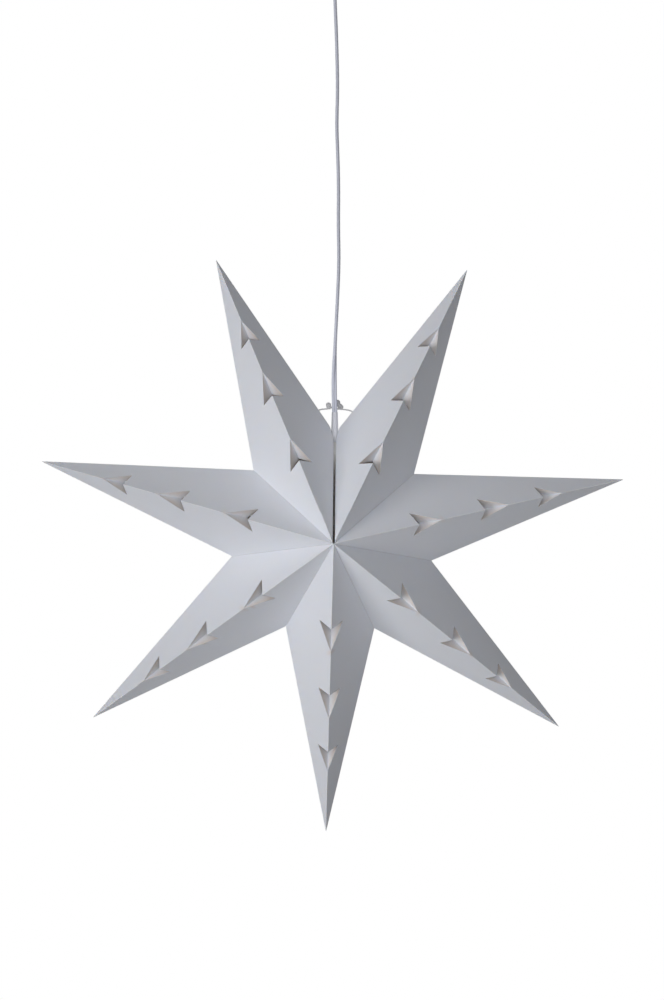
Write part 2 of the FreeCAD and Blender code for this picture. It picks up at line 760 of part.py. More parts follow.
def rounded_path(points):
    """Straight runs joined by tangent arcs, each as large as its two runs allow, and the arcs' radii."""
    edges, radii = [], []
    start = points[0]
    for before, corner, after in zip(points, points[1:], points[2:]):
        back, ahead = before - corner, after - corner
        turn = math.pi - back.getAngle(ahead)
        cut = 0.45 * min(back.Length, ahead.Length)
        radii.append(cut / math.tan(turn / 2))
        back.normalize()
        ahead.normalize()
        enter, leave = corner + back * cut, corner + ahead * cut
        inward = (back + ahead).normalize()
        centre_away = radii[-1] / math.cos(turn / 2)
        middle = corner + inward * (centre_away - radii[-1])
        edges.append(Part.LineSegment(start, enter).toShape())
        edges.append(Part.Arc(enter, middle, leave).toShape())
        start = leave
    edges.append(Part.LineSegment(start, points[-1]).toShape())
    return Part.Wire(edges), radii


def flat_section(at, across, along_y):
    """The flex's outline, square to Z: two cores side by side along Y, each round end in four flats."""
    radius = across / 2
    half = along_y / 2 - radius
    corners = []
    for end in (1, -1):
        for part in range(5):
            angle = math.pi * part / 4
            spot = Vector(radius * math.cos(angle), half + radius * math.sin(angle), 0)
            corners.append(at + spot * end)
    return Part.makePolygon(corners + corners[:1])


path, radii = rounded_path(route)
section = flat_section(route[0], size("flex_thickness"), size("flex_width"))
sweep = Part.BRepOffsetAPI.MakePipeShell(path)
sweep.setBiNormalMode(Vector(0, 1, 0))
sweep.add(section, False, True)
sweep.build()
sweep.makeSolid()
flex = sweep.shape()
plain("flex", flex)
straight_area = Part.Face(section).Area
print("flex radii mm:", [round(radius) for radius in radii])
print("flex length mm: %.1f" % path.Length)
print("flex volume over section times length: %.5f" % (flex.Volume / (straight_area * path.Length)))

# ---------------------------------------------------------------- ceiling fitting

ball_radius = size("ball_radius")
bore_radius = size("flex_width") / 2
ball_end = math.sqrt(ball_radius**2 - bore_radius**2)
ball = in_flats(arc_corners(ball_radius, -ball_end, ball_end, BALL_BANDS), "0")
grip_hole = Part.makeCylinder(size("grip_screw") / 2 + size("fit"), 2 * ball_radius, Vector(), Vector(1, 0, 0))
plain("swivel_ball", ball.cut(grip_hole), Placement(Vector(0, 0, -size("ball_depth")), Rotation()))

grip = cylinder(
    "grip_screw_pin",
    "{grip_screw} / 2",
    "{ball_radius} - {flex_width} / 2 - 0.4",
    ["{flex_width} / 2 + 0.05", "0", "0"],
    ALONG_X,
)
grip_slot = block(
    "grip_screw_slot",
    ["0.8", "0.6", "{grip_screw} * 2"],
    ["{ball_radius} - 1.1", "-0.3", "-{grip_screw}"],
)
grip_item = less("grip_screw_item", grip, [grip_slot])
grip_item.setExpression("Placement.Base.z", cell("-{ball_depth}"))
keep(grip_item, "grip_screw")
seat_low = -size("seat_lip")
seat_high = size("seat_height") - size("seat_lip")
seat_turn = (math.asin(seat_high / ball_radius) - math.asin(seat_low / ball_radius)) / SEAT_BANDS
# the middle of each flat of the seat clears the round ball
seat_radius = ball_radius + size("ball_clearance")
seat_radius /= math.cos(math.pi / FLATS) * math.cos(seat_turn / 2)
ring_corners_below = [
    ("{seat_outside}", seat_low),
    ("{seat_outside}", "{seat_height} / 2 - {seat_lip}"),
    ("{seat_outside} + {seat_flange}", "{seat_height} / 2 - {seat_lip}"),
    ("{seat_outside} + {seat_flange}", "{seat_height} / 2 - {seat_lip} + {cup_wall}"),
    ("{seat_outside}", "{seat_height} / 2 - {seat_lip} + {cup_wall}"),
    ("{seat_outside}", seat_high),
]
seat = arc_corners(seat_radius, seat_high, seat_low, SEAT_BANDS)
plain("socket_ring", in_flats(ring_corners_below + seat, "-{ball_depth}"))

cup = in_flats(
    [
        ("{seat_outside} + {fit}", "{floor_inside} - {cup_wall}"),
        ("{cup_floor_radius}", "{floor_inside} - {cup_wall}"),
        ("{cup_radius} - {cup_taper}", "{floor_inside} + {cup_shoulder}"),
        ("{cup_radius}", "{cup_height}"),
        ("{cup_radius} - {cup_wall}", "{cup_height}"),
        ("{cup_radius} - {cup_taper} - {cup_wall}", "{floor_inside} + {cup_shoulder} + {cup_wall} / 2"),
        ("{cup_floor_radius} - {cup_wall} / 2", "{floor_inside}"),
        ("{seat_outside} + {fit}", "{floor_inside}"),
    ],
    "{cup_floor_level}",
)
screw_holes = Part.makeCylinder(
    size("cup_screw") / 2 + size("screw_clearance"),
    2 * size("cup_radius") + 4,
    Vector(-size("cup_radius") - 2, 0, worth("{side_screw_level}")),
    Vector(1, 0, 0),
)
plain("ceiling_cup", cup.cut(screw_holes))

strip = block(
    "bracket_strip",
    ["2 * {ear_outside}", "{bracket_width}", "{bracket_sheet}"],
    ["-{ear_outside}", "-{bracket_width} / 2", "-{bracket_sheet}"],
)
ears = []
for name, corner in (("left", "-{ear_outside}"), ("right", "{ear_outside} - {bracket_sheet}")):
    ears.append(
        block(
            "bracket_ear_" + name,
            ["{bracket_sheet}", "{bracket_width}", "{ear_drop}"],
            [corner, "-{bracket_width} / 2", "-{ear_drop}"],
        )
    )
ear_hole = cylinder(
    "bracket_ear_hole",
    "{cup_screw} / 2 + {fit}",
    "2 * {cup_radius}",
    ["-{cup_radius}", "0", "{side_screw_level}"],
    ALONG_X,
)
slots = []
for name, sign in (("left", "-"), ("right", "")):
    middle = "%s{slot_spacing} / 2" % sign
    straight = "({slot_length} - {slot_width})"
    for end, shift in (("inner", "- %s / 2" % straight), ("outer", "+ %s / 2" % straight)):
        slots.append(
            cylinder(
                "bracket_slot_%s_%s" % (name, end),
                "{slot_width} / 2",
                "{bracket_sheet} + 2",
                ["%s %s" % (middle, shift), "0", "-{bracket_sheet} - 1"],
            )
        )
    slots.append(
        block(
            "bracket_slot_%s_middle" % name,
            [straight, "{slot_width}", "{bracket_sheet} + 2"],
            ["%s - %s / 2" % (middle, straight), "-{slot_width} / 2", "-{bracket_sheet} - 1"],
        )
    )
bracket = less("bracket_item", joined("bracket_sheet_metal", [strip] + ears), slots + [ear_hole])
keep(bracket, "ceiling_bracket")

screws = []
for name, sign in (("left", "-"), ("right", "")):
    inner_end = "{ear_outside} - {bracket_sheet} - 1"
    shank = "{cup_radius} - (%s)" % inner_end
    shank_foot = [inner_end if sign == "" else "-{cup_radius}", "0", "{side_screw_level}"]
    head_at = "{cup_radius}" if sign == "" else "-{cup_radius} - {head_height}"
    head_foot = [head_at, "0", "{side_screw_level}"]
    screws.append(cylinder("cup_screw_shank_" + name, "{cup_screw} / 2", shank, shank_foot, ALONG_X))
    screws.append(cylinder("cup_screw_head_" + name, "{screw_head} / 2", "{head_height}", head_foot, ALONG_X))
keep(joined("cup_screws_item", screws), "cup_screws")

terminals = block(
    "terminal_body",
    ["{block_width}", "{block_depth}", "{block_height}"],
    ["-{block_width} / 2", "-{block_depth} / 2", "-{bracket_sheet} - {block_height}"],
)
waist = block(
    "terminal_waist",
    ["2", "{block_depth}", "{block_height} - 4"],
    ["-1", "{block_depth} / 2 - 2", "-{bracket_sheet} - {block_height} + 2"],
)
SCREW_ROW = ["-{bracket_sheet} - {block_height} / 3", "-{bracket_sheet} - 2 * {block_height} / 3"]
wire_holes, screw_holes, terminal_screws = [], [], []
for name, sign in (("left", "-"), ("right", "")):
    across = "%s{core_spacing} / 2" % sign
    wire_holes.append(
        cylinder(
            "terminal_wire_" + name,
            "{core_width} / 2 + {fit}",
            "{block_height} - 2",
            [across, "0", "-{bracket_sheet} - {block_height}"],
        )
    )
    for row, level in enumerate(SCREW_ROW):
        spot = [across, "-{block_depth} / 2 - 1", level]
        hole_name = "terminal_screw_hole_%s_%d" % (name, row)
        screw_holes.append(cylinder(hole_name, "{terminal_screw} / 2 + {fit}", "3", spot, ALONG_Y))
        head = [across, "-{block_depth} / 2 + 0.4", level]
        head_name = "terminal_screw_%s_%d" % (name, row)
        terminal_screws.append(cylinder(head_name, "{terminal_screw} / 2", "{head_height}", head, ALONG_Y))
keep(less("terminal_item", terminals, [waist] + wire_holes + screw_holes), "terminal_block")
keep(joined("terminal_screws_item", terminal_screws), "terminal_screws")

cores = []
for name, sign in (("left", "-"), ("right", "")):
    foot = "-{ball_depth} + {ball_radius} + 0.5"
    rise = "{ball_depth} - {ball_radius} - 0.5 - {bracket_sheet} - 2.5"
    across = "%s{core_spacing} / 2" % sign
    cores.append(cylinder("core_" + name, "{core_width} / 2", rise, [across, "0", foot]))
keep(joined("cores_item", cores), "bared_cores")

# ---------------------------------------------------------------- check and write

doc.recompute()
for item in doc.Objects:
    if "Invalid" in item.State or "Error" in item.State:
        raise RuntimeError("%s did not build: %s" % (item.Label, item.State))
os.makedirs("parts", exist_ok=True)
for item in made:
    shape = item.Shape
    if shape.isNull() or not shape.isValid():
        raise RuntimeError("%s has no valid shape" % item.Label)
    if shape.Volume <= 0:
        raise RuntimeError("%s has no volume" % item.Label)
    shape.exportStep("parts/%s.step" % item.Label)
print("pieces %d" % len(made))
for item in made:
    box = item.Shape.BoundBox
    print(
        "%-18s solids %d volume %9.1f  x %7.1f %7.1f  y %7.1f %7.1f  z %7.1f %7.1f"
        % (
            item.Label,
            len(item.Shape.Solids),
            item.Shape.Volume,
            box.XMin,
            box.XMax,
            box.YMin,
            box.YMax,
            box.ZMin,
            box.ZMax,
        )
    )
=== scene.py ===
"""Folding paper star pendant: the visible surfaces, materials, light and camera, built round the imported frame.

Metres, +Z up, the front of the star faces -Y, and the origin is on the ceiling above the lamp.
"""

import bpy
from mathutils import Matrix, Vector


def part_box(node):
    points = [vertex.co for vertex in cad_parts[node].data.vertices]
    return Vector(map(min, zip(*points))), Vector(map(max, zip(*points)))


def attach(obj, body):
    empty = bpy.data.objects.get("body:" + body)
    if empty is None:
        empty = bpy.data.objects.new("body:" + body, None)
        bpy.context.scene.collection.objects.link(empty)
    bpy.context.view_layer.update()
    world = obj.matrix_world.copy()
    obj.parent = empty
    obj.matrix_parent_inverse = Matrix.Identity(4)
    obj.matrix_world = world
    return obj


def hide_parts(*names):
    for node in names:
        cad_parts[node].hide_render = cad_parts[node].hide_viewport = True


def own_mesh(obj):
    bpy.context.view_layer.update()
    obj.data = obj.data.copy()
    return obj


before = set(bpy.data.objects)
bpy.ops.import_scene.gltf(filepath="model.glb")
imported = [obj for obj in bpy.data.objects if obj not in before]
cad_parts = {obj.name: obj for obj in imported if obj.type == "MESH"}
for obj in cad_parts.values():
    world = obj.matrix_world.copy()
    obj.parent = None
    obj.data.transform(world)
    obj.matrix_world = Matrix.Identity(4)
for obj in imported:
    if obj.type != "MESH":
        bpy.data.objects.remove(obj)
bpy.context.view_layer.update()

import math

import bmesh
import bpy
import numpy as np
from mathutils import Vector

bl_info = {
    "name": "Paper star pendant",
    "version": (1, 0, 0),
    "blender": (4, 5, 0),
    "location": "View3D > Sidebar > Pendant",
    "description": "Builds a folding paper star with its flex, lamp holder, bulb and ceiling cup",
    "category": "Object",
}

# ---------------------------------------------------------------- the star's own geometry

POINTS = 7
LAST_POINT = 3
SECTOR = math.pi / POINTS
TIP = 0.300
APEX = 0.3012
NOTCH = 0.104
DEPTH = 0.080
ROLL = math.radians(1.4)
STAR_DROP = 0.640
SEAM_GAP = 0.00004
OPEN_SEAM_GAP = 0.0012
NOTCH_OUT = NOTCH * math.cos(SECTOR)
NOTCH_SIDE = NOTCH * math.sin(SECTOR)
ROOT_WIDTH = NOTCH_SIDE * APEX / (APEX - NOTCH_OUT)
STAR_CENTRE = np.array([-NOTCH * math.sin(ROLL), 0.0, -STAR_DROP])
# share of a slit's distance from the tongue's fold plane that pushing in carries it (2 is a full mirror fold), and
# how far the board's spring draws it back towards the star's centre
TONGUE_TURN = 1.7
TONGUE_SPRING = 0.0030
# an eyelet's place on the back panel: along the free edge from the notch, and in from that edge
EYELET_ALONG = 0.0288
EYELET_IN = 0.004
STRING_RADIUS = 0.00075
LOOP_RADIUS = 0.0016
# cells along each side of a patch of board
STEPS = 8
# sharpest crease, in degrees, that is still shaded as a bend of the board
BOARD_BEND = 20

# each arrow cut-out of a ridge: its barbs, its arrow point, its slit's middle, and half its width
CUT_OUTS = (
    (0.0792, 0.1102, 0.0869, 0.01175),
    (0.1492, 0.1802, 0.1552, 0.01095),
    (0.2092, 0.2354, 0.2152, 0.01015),
)
# where the rulings from slit, barb and arrow point reach the seam or the side crease
RULINGS = ((0.048, 0.063, 0.112), (0.120, 0.1330, 0.181), (0.190, 0.2000, 0.236))

# how far each hanging point's tip has settled from the folded pattern: outwards, and sideways round the star
SETTLED = {
    0: (0.0043, 0.0010),
    1: (0.0037, -0.0017),
    2: (0.0006, -0.0030),
    3: (0.0008, 0.0016),
    -1: (0.0062, 0.0006),
    -2: (0.0030, -0.0013),
    -3: (0.0018, -0.0083),
}

# strength of the even sky, and power in watts of each soft lamp
SKY_STRENGTH = 0.1
KEY_WATTS = 34.953
TOP_WATTS = 13.205
FRONT_WATTS = 23.85
FILL_WATTS = 0.0

POINT_BODIES = {
    0: ("bottom", "star"),
    1: ("lower_right", "fold_lower_right"),
    2: ("right", "fold_right"),
    3: ("upper_right", "fold_upper_right"),
    -1: ("lower_left", "fold_lower_left"),
    -2: ("left", "fold_left"),
    -3: ("upper_left", "fold_upper_left"),
}

CAMERA_TARGET = Vector((-0.0028, 0.0, -0.6036))
# height of the view at the target, as a share of the lens's focal length over the camera's distance
FOCAL_SHARE = 0.986
SENSOR_HEIGHT = 36.0
# centre of the swivel ball below the ceiling
BALL_LEVEL = -0.046


def point_directions(number):
    """Unit vectors of a point: out along its ridge, and sideways round the star."""
    angle = math.radians(-90 + number * 360 / POINTS) - ROLL
    out = np.array([math.cos(angle), 0.0, math.sin(angle)])
    side = np.array([-math.sin(angle), 0.0, math.cos(angle)])
    return out, side


# ---------------------------------------------------------------- mesh helpers


def grid_faces(rows, columns, close_rows=False, close_columns=False):
    """Quads between the neighbours of a rows by columns grid of vertices."""
    row = np.arange(rows if close_rows else rows - 1)[:, None]
    column = np.arange(columns if close_columns else columns - 1)[None, :]
    next_row, next_column = (row + 1) % rows, (column + 1) % columns
    corners = (
        row * columns + column,
        row * columns + next_column,
        next_row * columns + next_column,
        next_row * columns + column,
    )
    shape = (row.size, column.size)
    return np.stack([np.broadcast_to(corner, shape).ravel() for corner in corners], axis=-1)


def in_first(values):
    """Vectors with the values in their first part, for an attribute that holds one number."""
    return np.stack([values, 0 * values, 0 * values], axis=-1)


def new_piece(name, points, faces, materials, attributes=None, closed=True, sharp=35):
    """Puts arrays into a mesh object, merges its doubles and shades it."""
    mesh = bpy.data.meshes.new(name)
    mesh.from_pydata(np.asarray(points, float).reshape(-1, 3).tolist(), [], np.asarray(faces).tolist())
    for attribute, values in (attributes or {}).items():
        layer = mesh.attributes.new(attribute, "FLOAT_VECTOR", "POINT")
        layer.data.foreach_set("vector", np.asarray(values, np.float32).ravel())
    work = bmesh.new()
    work.from_mesh(mesh)
    bmesh.ops.remove_doubles(work, verts=work.verts, dist=2e-6)
    if closed:
        bmesh.ops.recalc_face_normals(work, faces=work.faces)
    work.to_mesh(mesh)
    work.free()
    mesh.shade_smooth()
    mesh.set_sharp_from_angle(angle=math.radians(sharp))
    piece = bpy.data.objects.new(name, mesh)
    for material in materials:
        mesh.materials.append(material)
    bpy.context.scene.collection.objects.link(piece)
    return piece


def turned(name, outline, level, materials, segments=72, bevel=0.0):
    """A wall turned about the vertical: (r cos a, r sin a, level + z) for each corner (r, z) of a closed outline."""
    radius, height = np.array(outline, float).T
    angle = np.linspace(0, 2 * np.pi, segments, endpoint=False)
    points = np.stack(
        [
            radius[:, None] * np.cos(angle),
            radius[:, None] * np.sin(angle),
            np.repeat(height[:, None] + level, segments, axis=1),
        ],
        axis=-1,
    )
    piece = new_piece(name, points, grid_faces(len(radius), segments, True, True), materials)
    if bevel:
        soften = piece.modifiers.new("soft_edges", "BEVEL")
        soften.width = bevel
        soften.segments = 2
        soften.limit_method = "ANGLE"
        soften.angle_limit = math.radians(30)
    return piece


def round_outline(corners, radii, steps=5):
    """A closed outline whose corners are replaced by quadratic arcs: (1-t)^2 before + 2t(1-t) corner + t^2 after."""
    corners = np.array(corners, float)
    before = np.roll(corners, 1, axis=0) - corners
    after = np.roll(corners, -1, axis=0) - corners
    reach_before = np.linalg.norm(before, axis=1, keepdims=True)
    reach_after = np.linalg.norm(after, axis=1, keepdims=True)
    cut = np.minimum(np.array(radii, float)[:, None], 0.45 * np.minimum(reach_before, reach_after))
    start = corners + before / reach_before * cut
    end = corners + after / reach_after * cut
    t = np.linspace(0, 1, steps)[None, :, None]
    arcs = (1 - t) ** 2 * start[:, None] + 2 * t * (1 - t) * corners[:, None] + t**2 * end[:, None]
    return arcs.reshape(-1, 2)


def carried(name, path, profile, across, materials, closed_path=False, attributes=None):
    """A profile carried along a path: centre + a * across + b * (tangent x across), for each (a, b) at each centre.
    The profile may change along the path, and the ends close to their centres."""
    path = np.asarray(path, float)
    if closed_path:
        tangent = np.roll(path, -1, axis=0) - np.roll(path, 1, axis=0)
    else:
        tangent = np.gradient(path, axis=0)
    tangent /= np.linalg.norm(tangent, axis=1, keepdims=True)
    across = np.broadcast_to(np.asarray(across, float), path.shape)
    across = across - (across * tangent).sum(1, keepdims=True) * tangent
    across = across / np.linalg.norm(across, axis=1, keepdims=True)
    other = np.cross(tangent, across)
    profile = np.asarray(profile, float)
    if profile.ndim == 2:
        profile = np.broadcast_to(profile, (len(path),) + profile.shape)
    rings = path[:, None] + profile[..., :1] * across[:, None] + profile[..., 1:] * other[:, None]
    if not closed_path:
        centre_first = np.repeat(path[:1, None], rings.shape[1], axis=1)
        centre_last = np.repeat(path[-1:, None], rings.shape[1], axis=1)
        rings = np.concatenate([centre_first, rings, centre_last])
    faces = grid_faces(rings.shape[0], rings.shape[1], closed_path, True)
    return new_piece(name, rings, faces, materials, attributes, sharp=50)


def smooth_path(control_points, name):
    """The points of an order 3 NURBS spline through the control points' hull, read from an unbevelled curve."""
    curve = bpy.data.curves.new(name, "CURVE")
    curve.dimensions = "3D"
    curve.resolution_u = 12
    spline = curve.splines.new("NURBS")
    spline.points.add(len(control_points) - 1)
    flat = np.c_[np.asarray(control_points, float), np.ones(len(control_points))]
    spline.points.foreach_set("co", flat.ravel())
    spline.order_u = 3
    spline.use_endpoint_u = True
    line = bpy.data.objects.new(name, curve)
    mesh = bpy.data.meshes.new_from_object(line)
    points = np.zeros(len(mesh.vertices) * 3)
    mesh.vertices.foreach_get("co", points)
    bpy.data.objects.remove(line)
    bpy.data.curves.remove(curve)
    bpy.data.meshes.remove(mesh)
    return points.reshape(-1, 3)


def dress(piece, body, node):
    """Gives a piece its body and hides the CAD node that it stands for."""
    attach(piece, body)
    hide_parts(node)


def finish_nodes(materials):
    """Gives the CAD nodes that stay in view their materials."""
    for node, material in materials.items():
        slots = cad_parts[node].data.materials
        slots.clear()
        slots.append(material)


def spaced(path, step):
    """The same line with its points an even step apart."""
    run = np.r_[0, np.cumsum(np.linalg.norm(np.diff(path, axis=0), axis=1))]
    marks = np.linspace(0, run[-1], max(2, int(round(run[-1] / step)) + 1))
    return np.stack([np.interp(marks, run, path[:, axis]) for axis in range(3)], axis=-1)


# ---------------------------------------------------------------- shader helpers


def new_group(name, inputs, outputs):
    """A node group with its sockets: inputs by name and default, numbers or vectors, and outputs that are numbers."""
    tree = bpy.data.node_groups.new(name, "ShaderNodeTree")
    for socket, value in inputs.items():
        kind = "NodeSocketVector" if isinstance(value, tuple) else "NodeSocketFloat"
        made = tree.interface.new_socket(socket, in_out="INPUT", socket_type=kind)
        made.default_value = value
    for socket in outputs:
        tree.interface.new_socket(socket, in_out="OUTPUT", socket_type="NodeSocketFloat")
    return tree, tree.nodes.new("NodeGroupInput"), tree.nodes.new("NodeGroupOutput")


def grain_group():
    """Coarse and fine noise on Object coordinates: a tone round one half, and a height."""
    if "pendant_grain" in bpy.data.node_groups:
        return bpy.data.node_groups["pendant_grain"]
    settings = {"Coarse Scale": 20.0, "Fine Scale": 900.0, "Fine Share": 0.5, "Stretch": (1.0, 1.0, 1.0)}
    tree, inputs, outputs = new_group("pendant_grain", settings, ("Tone", "Height"))
    nodes, links = tree.nodes, tree.links
    where = nodes.new("ShaderNodeTexCoord")
    stretch = nodes.new("ShaderNodeVectorMath")
    stretch.operation = "MULTIPLY"
    links.new(where.outputs["Object"], stretch.inputs[0])
    links.new(inputs.outputs["Stretch"], stretch.inputs[1])
    coarse, fine = nodes.new("ShaderNodeTexNoise"), nodes.new("ShaderNodeTexNoise")
    coarse.inputs["Detail"].default_value = 3.0
    fine.inputs["Detail"].default_value = 2.0
    for noise, scale in ((coarse, "Coarse Scale"), (fine, "Fine Scale")):
        links.new(stretch.outputs["Vector"], noise.inputs["Vector"])
        links.new(inputs.outputs[scale], noise.inputs["Scale"])
    blend = nodes.new("ShaderNodeMix")
    links.new(inputs.outputs["Fine Share"], blend.inputs["Factor"])
    links.new(coarse.outputs["Fac"], blend.inputs["A"])
    links.new(fine.outputs["Fac"], blend.inputs["B"])
    links.new(blend.outputs["Result"], outputs.inputs["Tone"])
    links.new(fine.outputs["Fac"], outputs.inputs["Height"])
    return tree


def fold_group():
    """Masks for the folds: 1 on a fold and 0 beyond a width, for the distances to ridge, crease and seam."""
    if "pendant_folds" in bpy.data.node_groups:
        return bpy.data.node_groups["pendant_folds"]
    settings = {"Distances": (0.0, 0.0, 0.0), "Width": 0.0008}
    tree, inputs, outputs = new_group("pendant_folds", settings, ("Fold", "Seam"))
    nodes, links = tree.nodes, tree.links
    split = nodes.new("ShaderNodeSeparateXYZ")
    links.new(inputs.outputs["Distances"], split.inputs[0])
    masks = []
    for axis in ("X", "Y", "Z"):
        near = nodes.new("ShaderNodeMapRange")
        near.interpolation_type = "SMOOTHSTEP"
        near.inputs["From Min"].default_value = 0.0
        links.new(split.outputs[axis], near.inputs["Value"])
        links.new(inputs.outputs["Width"], near.inputs["From Max"])
        near.inputs["To Min"].default_value = 1.0
        near.inputs["To Max"].default_value = 0.0
        masks.append(near.outputs["Result"])
    largest = nodes.new("ShaderNodeMath")
    largest.operation = "MAXIMUM"
    links.new(masks[0], largest.inputs[0])
    links.new(masks[1], largest.inputs[1])
    links.new(largest.outputs[0], outputs.inputs["Fold"])
    links.new(masks[2], outputs.inputs["Seam"])
    return tree


class Surface:
    """A material with a Principled shader and the few nodes that its colour, roughness and bump need."""

    def __init__(self, name, roughness=0.5, metallic=0.0, specular=0.5, **constants):
        self.material = bpy.data.materials.new(name)
        self.material.use_nodes = True
        self.tree = self.material.node_tree
        self.tree.nodes.clear()
        self.shader = self.node("ShaderNodeBsdfPrincipled")
        output = self.node("ShaderNodeOutputMaterial")
        self.tree.links.new(self.shader.outputs["BSDF"], output.inputs["Surface"])
        self.shader.inputs["Roughness"].default_value = roughness
        self.shader.inputs["Metallic"].default_value = metallic
        self.shader.inputs["Specular IOR Level"].default_value = specular
        for socket, value in constants.items():
            self.shader.inputs[socket.replace("_", " ")].default_value = value

    def node(self, kind):
        return self.tree.nodes.new(kind)

    def link(self, source, target):
        self.tree.links.new(source, target)

    def group(self, tree, **values):
        node = self.node("ShaderNodeGroup")
        node.node_tree = tree
        for socket, value in values.items():
            node.inputs[socket.replace("_", " ")].default_value = value
        return node

    def attribute(self, name):
        read = self.node("ShaderNodeAttribute")
        read.attribute_name = name
        return read.outputs["Vector"]

    def place(self):
        return self.node("ShaderNodeTexCoord").outputs["Object"]

    def split(self, vector):
        """The three parts of a vector."""
        parts = self.node("ShaderNodeSeparateXYZ")
        self.link(vector, parts.inputs[0])
        return list(parts.outputs)

    def mixed(self, factor, first, second, amount=None):
        """A colour between two others; each may be a colour or an output socket."""
        mix = self.node("ShaderNodeMix")
        mix.data_type = "RGBA"
        if amount is not None:
            scale = self.node("ShaderNodeMath")
            scale.operation = "MULTIPLY"
            scale.use_clamp = True
            self.link(factor, scale.inputs[0])
            scale.inputs[1].default_value = amount
            factor = scale.outputs[0]
        self.link(factor, mix.inputs["Factor"])
        for socket, value in ((mix.inputs[6], first), (mix.inputs[7], second)):
            if isinstance(value, bpy.types.NodeSocket):
                self.link(value, socket)
            else:
                socket.default_value = (*value, 1.0)
        return mix.outputs[2]

    def ranged(self, value, low, high, to_low, to_high):
        """A value carried from one range to another."""
        spread = self.node("ShaderNodeMapRange")
        self.link(value, spread.inputs["Value"])
        for socket, number in (
            ("From Min", low),
            ("From Max", high),
            ("To Min", to_low),
            ("To Max", to_high),
        ):
            spread.inputs[socket].default_value = number
        return spread.outputs["Result"]

    def bump(self, height, distance, strength=1.0):
        bump = self.node("ShaderNodeBump")
        bump.inputs["Distance"].default_value = distance
        bump.inputs["Strength"].default_value = strength
        self.link(height, bump.inputs["Height"])
        self.link(bump.outputs["Normal"], self.shader.inputs["Normal"])

    def colour(self, socket):
        self.link(socket, self.shader.inputs["Base Color"])

    def grained(self, coarse, fine, fine_share, relief, rough=None, stretch=(1.0, 1.0, 1.0)):
        """Adds the grain's relief (depth and strength) and its range of roughness, and gives its tone."""
        grain = self.group(
            grain_group(), Coarse_Scale=coarse, Fine_Scale=fine, Fine_Share=fine_share, Stretch=stretch
        )
        if rough is not None:
            self.link(self.ranged(grain.outputs["Tone"], 0.3, 0.7, *rough), self.shader.inputs["Roughness"])
        self.bump(grain.outputs["Height"], *relief)
        return grain.outputs["Tone"]

    def spread(self, tone):
        """The grain's tone, stretched from its usual range to 0 and 1."""
        return self.ranged(tone, 0.3, 0.7, 0.0, 1.0)


def shaded(colour, factor):
    """The colour made darker or lighter by a factor."""
    return tuple(min(1.0, channel * factor) for channel in colour)


def board_material(name, settings, colour):
    """Matt board that lets a little light through: faint cloudy tone, fine tooth, painted shade that greys the tips
    and the glued seams, painted brown shade on the tongues beside their outer folds, and painted pale highlights
    along the folds."""
    surface = Surface(
        name,
        roughness=0.78,
        specular=0.28,
        Sheen_Weight=0.08,
        Sheen_Roughness=0.6,
        Subsurface_Weight=0.3,
        Subsurface_Scale=0.0008,
    )
    surface.shader.inputs["Subsurface Radius"].default_value = (1.0, 0.75, 0.55)
    tone = surface.spread(surface.grained(14.0, 1400.0, 0.35, (0.00006, 0.5), rough=(0.7, 0.86)))
    base = surface.mixed(tone, shaded(colour, 1 - settings.mottle), shaded(colour, 1 + settings.mottle))
    folds = surface.group(fold_group(), Width=settings.painted_line_width)
    surface.link(surface.attribute("fold_distances"), folds.inputs["Distances"])
    # the painted-shade attribute: its first part marks painted brown shade on the tongues, its second painted shade
    # towards the tips
    tucked, shade_at_tip, _ = surface.split(surface.attribute("tucked"))
    base = surface.mixed(tucked, base, tuple(settings.tongue_shade_colour), amount=0.8)
    # painted shade: the board grows darker towards each tip
    base = surface.mixed(shade_at_tip, base, shaded(colour, settings.painted_tip_shade))
    # painted highlight: a paler line along every fold
    pale = surface.mixed(folds.outputs["Fold"], base, tuple(settings.fold_highlight_colour), amount=0.55)
    # painted shade: the board is greyer along the glued seams, where the flap behind blocks the light
    surface.colour(surface.mixed(folds.outputs["Seam"], pale, shaded(colour, 0.9), amount=0.4))
    return surface.material


def moulded_material(name, colour, roughness=0.42, coarse=60.0, fine=1800.0, depth=0.00002):
    """Moulded plastic: a faint flow tone, uneven gloss and a fine spark-eroded texture."""
    surface = Surface(name, roughness=roughness, specular=0.45)
    rough = (roughness - 0.05, roughness + 0.08)
    tone = surface.spread(surface.grained(coarse, fine, 0.4, (depth, 0.6), rough))
    surface.colour(surface.mixed(tone, shaded(colour, 0.96), shaded(colour, 1.02)))
    return surface.material


def metal_material(name, colour, roughness=0.32, stretch=(1.0, 1.0, 12.0), dull=0.75):
    """Rolled or plated metal: drawn-out streaks, and a duller tarnished tone in patches."""
    surface = Surface(name, roughness=roughness, metallic=1.0)
    rough = (roughness + 0.12, roughness - 0.06)
    tone = surface.spread(surface.grained(90.0, 1500.0, 0.55, (0.00001, 0.5), rough, stretch))
    surface.colour(surface.mixed(tone, shaded(colour, dull), colour))
    return surface.material


def string_material(settings):
    """Twisted cotton: soft fuzz, and painted shade in the grooves between the strands, from the strand attribute."""
    surface = Surface("tie_string", roughness=0.9, specular=0.15, Sheen_Weight=0.3, Sheen_Roughness=0.5)
    tone = surface.grained(500.0, 4000.0, 0.5, (0.00008, 0.8))
    colour = tuple(settings.string_colour)
    crest = surface.split(surface.attribute("strand"))[0]
    base = surface.mixed(tone, shaded(colour, 0.85), shaded(colour, 1.05))
    # painted shade: the string is darker in the grooves between its strands
    surface.colour(surface.mixed(crest, shaded(colour, 0.72), base))
    return surface.material


